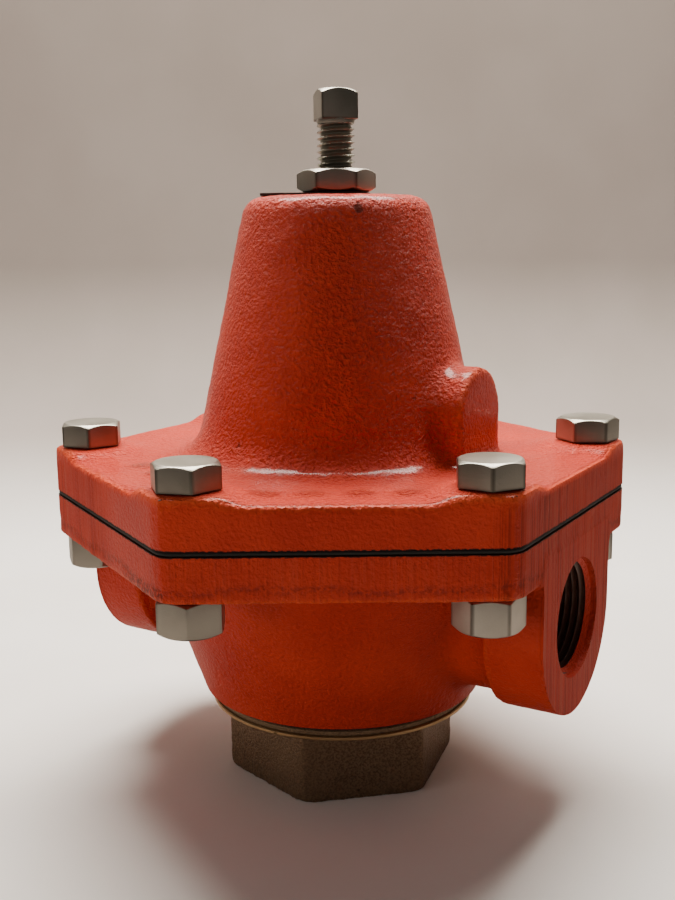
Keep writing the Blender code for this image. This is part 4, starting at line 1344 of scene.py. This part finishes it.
def bolt_mesh():
    """A head on a threaded shank, with its axis on Z."""
    low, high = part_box(bolt_nodes[0])
    head_height = 0.234 * INCH
    head = faceted_head("bolt_head", 6, 0.5625 * INCH, high.z - head_height, high.z)
    shank = threaded_rod("bolt_shank", zinc, radius=screw_radius, depth=0.85 * MM, pitch=screw_pitch,
                         bottom=low.z, top=high.z - head_height + 0.5 * MM, point=0.9 * MM,
                         around=36, rows=150)
    return joined("bolt", [head, shank])


def nut_mesh():
    low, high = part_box(nut_nodes[0])
    return faceted_head("nut", 6, 0.5625 * INCH, low.z, high.z, both_ends=True,
                        bore=screw_radius + 0.15 * MM)


def on_the_bolts(name, mesh, nodes, corner_angle, finish):
    """One piece that holds a copy of a fastener at each of these CAD nodes."""
    model = link_object(name + "_model", mesh)
    model.hide_render = True
    spots = bpy.data.meshes.new(name)
    axes = [axis_and_turn(node_name) for node_name in nodes]
    spots.from_pydata([axis for axis, _ in axes], [], [])
    store_points(spots, "turn", np.array([angle - corner_angle for _, angle in axes]))
    work = link_object(name, spots)
    run_tree(work, set_on_bolts, fastener=model, finish=finish)
    piece = finished(work, name)
    bpy.data.objects.remove(model)
    smooth(piece.data, facet_crease)
    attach(piece, "housing")
    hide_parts(*nodes)
    return report(piece)


corner_of_six = math.pi / 6   # a hexagon with a flat at angle 0 has its first corner here
on_the_bolts("flange_bolt_set", bolt_mesh(), bolt_nodes, corner_of_six, zinc)
on_the_bolts("flange_nut_set", nut_mesh(), nut_nodes, corner_of_six, nut_zinc_floor_lit)

# %% [markdown]
# ## The adjusting screw and its lock nut
#
# Turning the square-headed screw presses the spring and sets the outlet pressure. Its thread is
# the same tree as before with other sizes. A square head is forged: its top corners are turned
# off, and a plain neck shows below it. The screw rides its own body, so it turns and feeds.

# %% Adjusting screw
screw_low, screw_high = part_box("adjusting_screw")
screw_head_height = 7.5 * MM
screw_head_width = 9.4 * MM


def adjusting_screw():
    head_bottom = screw_high.z - screw_head_height
    head = faceted_head("square_head", 4, screw_head_width, head_bottom, screw_high.z,
                        corner=0.35 * MM)
    head.transform(Matrix.Rotation(math.radians(45), 4, "Z"))
    neck_top, neck_foot = head_bottom + 0.5 * MM, head_bottom - 0.9 * MM
    neck = turned("neck", [
        (0, neck_top), (screw_radius - 0.1 * MM, neck_top),
        (screw_radius + 0.05 * MM, head_bottom - 0.25 * MM),
        (screw_radius - 0.15 * MM, neck_foot), (0, neck_foot)], 64)
    thread = threaded_rod("adjusting_thread", thread_zinc, radius=screw_radius, depth=0.95 * MM,
                          pitch=screw_pitch, bottom=screw_low.z, top=head_bottom + 3.4 * MM,
                          point=3.2 * MM, around=72, rows=420)
    head.materials.append(zinc)
    neck.materials.append(zinc)
    piece = link_object("adjusting_screw_threaded", join_finishes("adjusting_screw_threaded",
                                                                  [head, neck, thread]))
    smooth(piece.data, 32)
    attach(piece, "adjusting_screw")
    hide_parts("adjusting_screw")
    return report(piece)


def join_finishes(name, meshes):
    """Several meshes as one, each keeping its own material."""
    finishes = []
    for mesh in meshes:
        if mesh.materials[0] not in finishes:
            finishes.append(mesh.materials[0])
        slot = finishes.index(mesh.materials[0])
        for face in mesh.polygons:
            face.material_index = slot
    made = joined(name, meshes)
    for finish in finishes:
        made.materials.append(finish)
    return made


adjusting_screw()

# %% [markdown]
# ### Lock nut
#
# The nut is the same faceted head with a hole and a chamfer at both ends. It rides a body of its
# own, because it turns on the screw.

# %% Lock nut
nut_low, nut_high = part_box("lock_nut")


def lock_nut():
    flats = 0.6875 * INCH
    mesh = faceted_head("lock_nut_hex", 6, flats, nut_low.z, nut_high.z, both_ends=True,
                        bore=screw_radius + 0.15 * MM)
    _, corner = axis_and_turn("lock_nut")
    mesh.transform(Matrix.Rotation(corner - corner_of_six, 4, "Z"))
    mesh.materials.append(zinc)
    piece = link_object("lock_nut_chamfered", mesh)
    smooth(piece.data, facet_crease)
    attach(piece, "lock_nut")
    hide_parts("lock_nut")
    return report(piece)


lock_nut()

# %% [markdown]
# ## The bottom plug and its gasket
#
# The plug closes the body from below and guides the piston. It is a bronze casting with a
# machined collar. Its hexagon gets the same casting skin as the iron, with a coarser grain, and
# the smooth collar and the spigot, left without its thread, are joined to it afterwards.

# %% Bottom plug
plug_flats = 2.125 * INCH
plug_turn = math.radians(11.2)
plug_hex_height = 19.5 * MM
collar_radius = 35.1 * MM
collar_top = gasket_low.z - 0.25 * MM
piston_bore = 17.2 * MM


def plug_hexagon():
    corner = plug_flats / 2 / math.cos(math.pi / 6)
    chamfer = 1.2 * MM

    def rows(angle):
        side = flats_radius(angle, 6, plug_flats, 1.4 * MM)
        low = min(side, corner - chamfer)
        return [(0, plug_hex_height), (side, plug_hex_height), (side, max(side - low, 0.0)),
                (low, 0), (0, 0)]
    return carried_round("plug_hexagon", rows, 180)


def bottom_plug():
    work = fused("plug_rough", [plug_hexagon()], 0.7 * MM)
    store_points(work.data, "rough", np.ones(len(work.data.vertices)))
    work = skinned(work, "plug_skin", bronze, fillet_steps=4, seed=9.0, grain_height=0.22 * MM,
                   grain_size=2.0 * MM, lump_height=0.15 * MM)
    work.data.transform(Matrix.Rotation(plug_turn, 4, "Z"))
    edge = 0.25 * MM
    top = plug_high.z
    lip = plug_hex_height + 1.1 * MM
    groove = collar_radius - 0.7 * MM
    spigot = turned("plug_spigot", [
        (0, top), (spigot_radius - edge, top), (spigot_radius, top - edge), (spigot_radius, collar_top),
        (groove - edge, collar_top), (groove, collar_top - edge), (groove, lip - 0.4 * MM),
        (0, lip - 0.4 * MM)], 160)
    spigot.materials.append(bronze)
    collar = turned("plug_collar", [
        (0, lip), (collar_radius - edge, lip), (collar_radius, lip - edge),
        (collar_radius, plug_hex_height + edge), (collar_radius - edge, plug_hex_height),
        (0, plug_hex_height - 0.6 * MM)], 160)
    collar.materials.append(machined_bronze)
    bore = rod("piston_bore", piston_bore, 8 * MM, top + spare, 96)
    cutters = cut_with(work, [collar, spigot], bronze, "UNION")
    cutters += cut_with(work, [bore], machined_bronze)
    piece = settle(work, cutters, "bottom_plug_cast")
    smooth(piece.data, 35)
    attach(piece, "housing")
    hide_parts("bottom_plug")
    return report(piece)


bottom_plug()


def plug_gasket():
    """A pressed fibre ring whose edges bulge a little under load."""
    radius = gasket_high.x
    inner = spigot_radius + 0.6 * MM
    bulge = 0.25 * MM
    rows = [(inner, gasket_high.z), (radius - bulge, gasket_high.z)]
    rows += arc((radius - bulge, (gasket_low.z + gasket_high.z) / 2),
                (gasket_high.z - gasket_low.z) / 2, 60, -60, 6)
    rows += [(radius - bulge, gasket_low.z), (inner, gasket_low.z)]
    mesh = turned("plug_gasket_ring", [(min(r, radius), z) for r, z in rows], 160, ring=True)
    mesh.materials.append(fibre)
    piece = link_object("plug_gasket_ring", mesh)
    smooth(piece.data, 50)
    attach(piece, "housing")
    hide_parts("plug_gasket")
    return report(piece)


plug_gasket()

# %% [markdown]
# ## The diaphragm
#
# A reinforced rubber sheet is the part that feels the pressure. Its rim is clamped and its
# centre moves with the pressure plate, so it is built in three parts: a still rim, a moving
# centre, and a ring of sectors between them.

# %% Diaphragm
clamp_radius = 44.5 * MM
plate_radius = 37.5 * MM
sector_count = 12


def diaphragm_rim():
    middle = (sheet_low.z + sheet_high.z) / 2
    flats = flange_flats - 0.6 * MM

    def rows(angle):
        side = flats_radius(angle, 6, flats, flange_corner)
        lip = 0.2 * MM
        return [(clamp_radius, sheet_high.z), (side - lip, sheet_high.z), (side, middle + lip),
                (side, middle - lip), (side - lip, sheet_low.z), (clamp_radius, sheet_low.z)]
    mesh = carried_round("diaphragm_rim", rows, 240, ring=True)
    mesh.materials.append(rubber)
    piece = link_object("diaphragm_rough", mesh)
    holes = bolt_holes("sheet_bolts", sheet_low.z - spare, sheet_high.z + spare)
    cutters = cut_with(piece, [holes], rubber)
    piece = settle(piece, cutters, "diaphragm_rim")
    smooth(piece.data, 50)
    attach(piece, "housing")
    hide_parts("diaphragm")
    return piece


def diaphragm_sector(index):
    """One piece of the ring between the plate's edge and the clamped rim."""
    start = 2 * math.pi * index / sector_count
    shape = bmesh.new()
    columns, rings = 6, 10
    grid = [[[shape.verts.new((radius * math.cos(angle), radius * math.sin(angle), height))
              for height in (sheet_low.z, sheet_high.z)]
             for radius in np.linspace(plate_radius, clamp_radius, rings + 1)]
            for angle in np.linspace(start, start + 2 * math.pi / sector_count, columns + 1)]

    def skin(*corners):
        shape.faces.new([grid[column][ring][level] for column, ring, level in corners])

    for c in range(columns):
        for r in range(rings):
            for level in (0, 1):
                skin((c, r, level), (c, r + 1, level), (c + 1, r + 1, level), (c + 1, r, level))
    for r in range(rings):
        for c in (0, columns):
            skin((c, r, 0), (c, r + 1, 0), (c, r + 1, 1), (c, r, 1))
    for c in range(columns):
        for r in (0, rings):
            skin((c, r, 0), (c + 1, r, 0), (c + 1, r, 1), (c, r, 1))
    name = f"diaphragm_sector_{index + 1}"
    mesh = mesh_of(shape, name)
    mesh.materials.append(rubber)
    piece = link_object(name, mesh)
    smooth(piece.data, 60)
    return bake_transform(piece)


def diaphragm_centre():
    hole = 5.95 * MM
    mesh = turned("diaphragm_centre", [
        (plate_radius, sheet_high.z), (plate_radius, sheet_low.z), (hole, sheet_low.z),
        (hole, sheet_high.z)], 96, ring=True)
    mesh.materials.append(rubber)
    piece = link_object("diaphragm_centre", mesh)
    smooth(piece.data, 50)
    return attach(piece, "diaphragm_stack")


rim = diaphragm_rim()
sectors = [diaphragm_sector(index) for index in range(sector_count)]
for piece in (rim, diaphragm_centre(), *sectors):
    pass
report(rim)

# %% [markdown]
# ## The springs
#
# A compression spring is a wire that follows a helix, with its end turns closed flat. A
# Geometry Nodes tree draws the helix as a curve and gives it a round section. The big range
# spring is pressed by the diaphragm below and by the screw's button above, so it is made in two
# lengths that meet at a still height.

# %% Geometry Nodes: a wound spring
def spring_tree():
    tree, given, ends = start_tree("wound_spring", "GeometryNodeTree", {
        "Radius": (FLOAT, 14 * MM), "Wire": (FLOAT, 4 * MM), "Bottom": (FLOAT, 0.0),
        "Top": (FLOAT, 50 * MM), "Turns": (FLOAT, 5.5), "Start Share": (FLOAT, 0.0),
        "End Share": (FLOAT, 1.0), "End Ease": (FLOAT, 0.45), "Points": (INTEGER, 260),
        "Finish": (MATERIAL, None)}, {"Geometry": GEOMETRY})
    line = node(tree, "GeometryNodeCurvePrimitiveLine").outputs[0]
    dense = wired(tree, "GeometryNodeResampleCurve", {"Curve": line, "Count": given["Points"]})
    along = node(tree, "GeometryNodeSplineParameter").outputs["Factor"]
    span = calc(tree, "SUBTRACT", given["End Share"], given["Start Share"])
    share = calc(tree, "MULTIPLY_ADD", along, span, given["Start Share"])
    angle = calc(tree, "MULTIPLY", calc(tree, "MULTIPLY", share, given["Turns"]), 2 * math.pi)
    swing = calc(tree, "DIVIDE", calc(tree, "SINE", calc(
        tree, "MULTIPLY", share, 2 * math.pi)), 2 * math.pi)
    eased = calc(tree, "SUBTRACT", share, calc(tree, "MULTIPLY", swing, given["End Ease"]))
    rise = calc(tree, "SUBTRACT", calc(tree, "SUBTRACT", given["Top"], given["Bottom"]), given["Wire"])
    low = calc(tree, "MULTIPLY_ADD", given["Wire"], 0.5, given["Bottom"])
    place = round_axis(tree, given["Radius"], angle, calc(tree, "MULTIPLY_ADD", eased, rise, low))
    bent = wired(tree, "GeometryNodeSetPosition", {"Geometry": dense, "Position": place})
    section = wired(tree, "GeometryNodeCurvePrimitiveCircle", {
        "Resolution": 14, "Radius": calc(tree, "MULTIPLY", given["Wire"], 0.5)})
    swept = wired(tree, "GeometryNodeCurveToMesh", {
        "Curve": bent, "Profile Curve": section, "Fill Caps": True})
    return end_tree(tree, swept, given["Finish"], ends)


wound_spring = spring_tree()


def spring(name, **sizes):
    """A spring as a plain closed mesh."""
    work = link_object(name, bpy.data.meshes.new(name))
    run_tree(work, wound_spring, finish=spring_wire, **sizes)
    piece = finished(work, name)
    close_up(piece.data)
    smooth(piece.data, 50)
    return report(piece)


# %% [markdown]
# ### Setting the springs
#
# The still height is where the upper and the lower length of the range spring meet. Neither
# moves there.

# %% Springs in place
range_low, range_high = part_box("range_spring")
small_low, small_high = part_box("piston_spring")
still_share = 0.32

range_sizes = dict(radius=14.6 * MM, wire=4.2 * MM, bottom=range_low.z, top=range_high.z, turns=5.5)
lower = spring("range_spring_lower", end_share=still_share, points=100, **range_sizes)
upper = spring("range_spring_upper", start_share=still_share, points=200, **range_sizes)
piston_spring = spring("piston_spring_wound", radius=9.6 * MM, wire=1.6 * MM, bottom=small_low.z,
                       top=small_high.z, turns=6.5)
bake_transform(lower)
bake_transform(upper)
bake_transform(piston_spring)
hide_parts("range_spring")
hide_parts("piston_spring")

# %% [markdown]
# ## Pieces that keep their CAD shape
#
# The turned pieces inside, and the thin tag under the lock nut, already have the right shape.
# They only need their finishes.

# %% Finishes on CAD nodes
kept = {
    "pressure_plate": zinc, "diaphragm_nut": zinc, "spring_button": zinc, "pusher_post": turned_brass,
    "seat_ring": turned_brass, "piston": turned_brass, "disc_nut": turned_brass, "seat_disc": rubber,
    "name_tag": blackened}
for name, finish in kept.items():
    mesh = frame["nodes"][name].data
    mesh.materials.clear()
    mesh.materials.append(finish)
print("CAD nodes kept:", sorted(kept))

# %% [markdown]
# ## Floor and light
#
# The valve stands on pale paper that sweeps up into a backdrop. A curved sweep has no corner, so
# no line crosses the picture. The main light is a wide soft panel above and behind, which puts
# the broken highlights on the shoulder and the flange and lets the front faces go deep. A weak
# panel at the front left keeps the shadows readable.

# %% Backdrop
def backdrop():
    """A sheet of paper: flat under the valve, then a curve, then a wall."""
    away = Vector((-math.sin(camera_heading), math.cos(camera_heading), 0))
    across = Vector((math.cos(camera_heading), math.sin(camera_heading), 0))
    front_end, flat_end, bend, wall_top, half_width = 1.2, 0.17, 0.13, 1.6, 1.8
    steps = 24
    profile = [(-front_end, 0.0), (0.0, 0.0), (flat_end, 0.0)]
    for step in range(1, steps + 1):
        angle = math.pi / 2 * step / steps
        profile.append((flat_end + bend * math.sin(angle), bend * (1 - math.cos(angle))))
    profile.append((flat_end + bend, wall_top))
    verts = [away * run + across * side + Vector((0, 0, rise))
             for run, rise in profile for side in (-half_width, half_width)]
    faces = [(2 * i, 2 * i + 1, 2 * i + 3, 2 * i + 2) for i in range(len(profile) - 1)]
    mesh = bpy.data.meshes.new("backdrop")
    mesh.from_pydata(verts, [], faces)
    made = link_object("backdrop", mesh)
    smooth(made.data, 60)
    paper, tree, shader = new_finish("backdrop_paper", 0.9)
    place = object_place(tree)
    patches = node(tree, "ShaderNodeTexNoise")
    feed(tree, patches.inputs["Vector"], place)
    patches.inputs["Scale"].default_value = 14.0
    patches.inputs["Detail"].default_value = 6.0
    height = parted(tree, place)[2]
    mottle = between(tree, patches.outputs["Fac"], 0.3, 0.7)
    # The paper is one sheet, but its wall is painted darker than its floor and darker again towards its
    # top: painted shade where the overhead light falls off.
    floor = mixed(tree, mottle, (0.86, 0.83, 0.79), (0.90, 0.88, 0.85))
    low = mixed(tree, mottle, (0.40, 0.355, 0.32), (0.44, 0.39, 0.36))
    high = mixed(tree, mottle, (0.235, 0.198, 0.174), (0.26, 0.221, 0.196))
    wall = mixed(tree, between(tree, height, 0.03, 0.30), low, high)
    seen = mixed(tree, between(tree, height, 0.0, 0.05), floor, wall)
    # The paper that isn't in view gives less light back, as a dark room round it would.
    in_view = node(tree, "ShaderNodeLightPath").outputs["Is Camera Ray"]
    feed(tree, shader.inputs["Base Color"], mixed(tree, in_view, (0.34, 0.30, 0.27), seen))
    # From behind, the camera looks through the wall and still sees the valve.
    behind = calc(tree, "MULTIPLY", node(tree, "ShaderNodeNewGeometry").outputs["Backfacing"], in_view)
    feed(tree, shader.inputs["Alpha"], calc(tree, "SUBTRACT", 1.0, behind))
    made.data.materials.append(paper)


backdrop()


# %% [markdown]
# ### Lights
#
# Two panels and a dim warm room are enough. The front panel is hidden from reflections, since a
# second bright shape in the paint would look like a studio.

# %% Lights
def panel(name, place, aim, width, height, power, tint):
    """A soft rectangular light."""
    lamp = bpy.data.lights.new(name, "AREA")
    lamp.shape = "RECTANGLE"
    lamp.size = width
    lamp.size_y = height
    lamp.energy = power
    lamp.color = tint
    made = bpy.data.objects.new(name, lamp)
    made.location = place
    made.rotation_euler = (Vector(place) - Vector(aim)).to_track_quat("Z", "Y").to_euler()
    bpy.context.scene.collection.objects.link(made)
    return made


valve_middle = (cad_box[0] + cad_box[1]) / 2
panel("overhead_panel", (-0.12, 0.20, 0.60), (-0.06, 0.09, 0.0), 0.55, 0.28, 16.4, (1.0, 0.93, 0.84))
fill = panel("front_panel", (-0.40, -0.85, 0.20), valve_middle, 0.80, 0.36, 2.1, (1.0, 0.92, 0.85))
fill.visible_glossy = False     # it only lifts the shadows, and shows in nothing

world = bpy.data.worlds.new("room")
world.use_nodes = True
world.node_tree.nodes["Background"].inputs["Color"].default_value = (1.0, 0.91, 0.84, 1.0)
world.node_tree.nodes["Background"].inputs["Strength"].default_value = 0.12
bpy.context.scene.world = world
print("lights:", [item.name for item in bpy.data.lights])
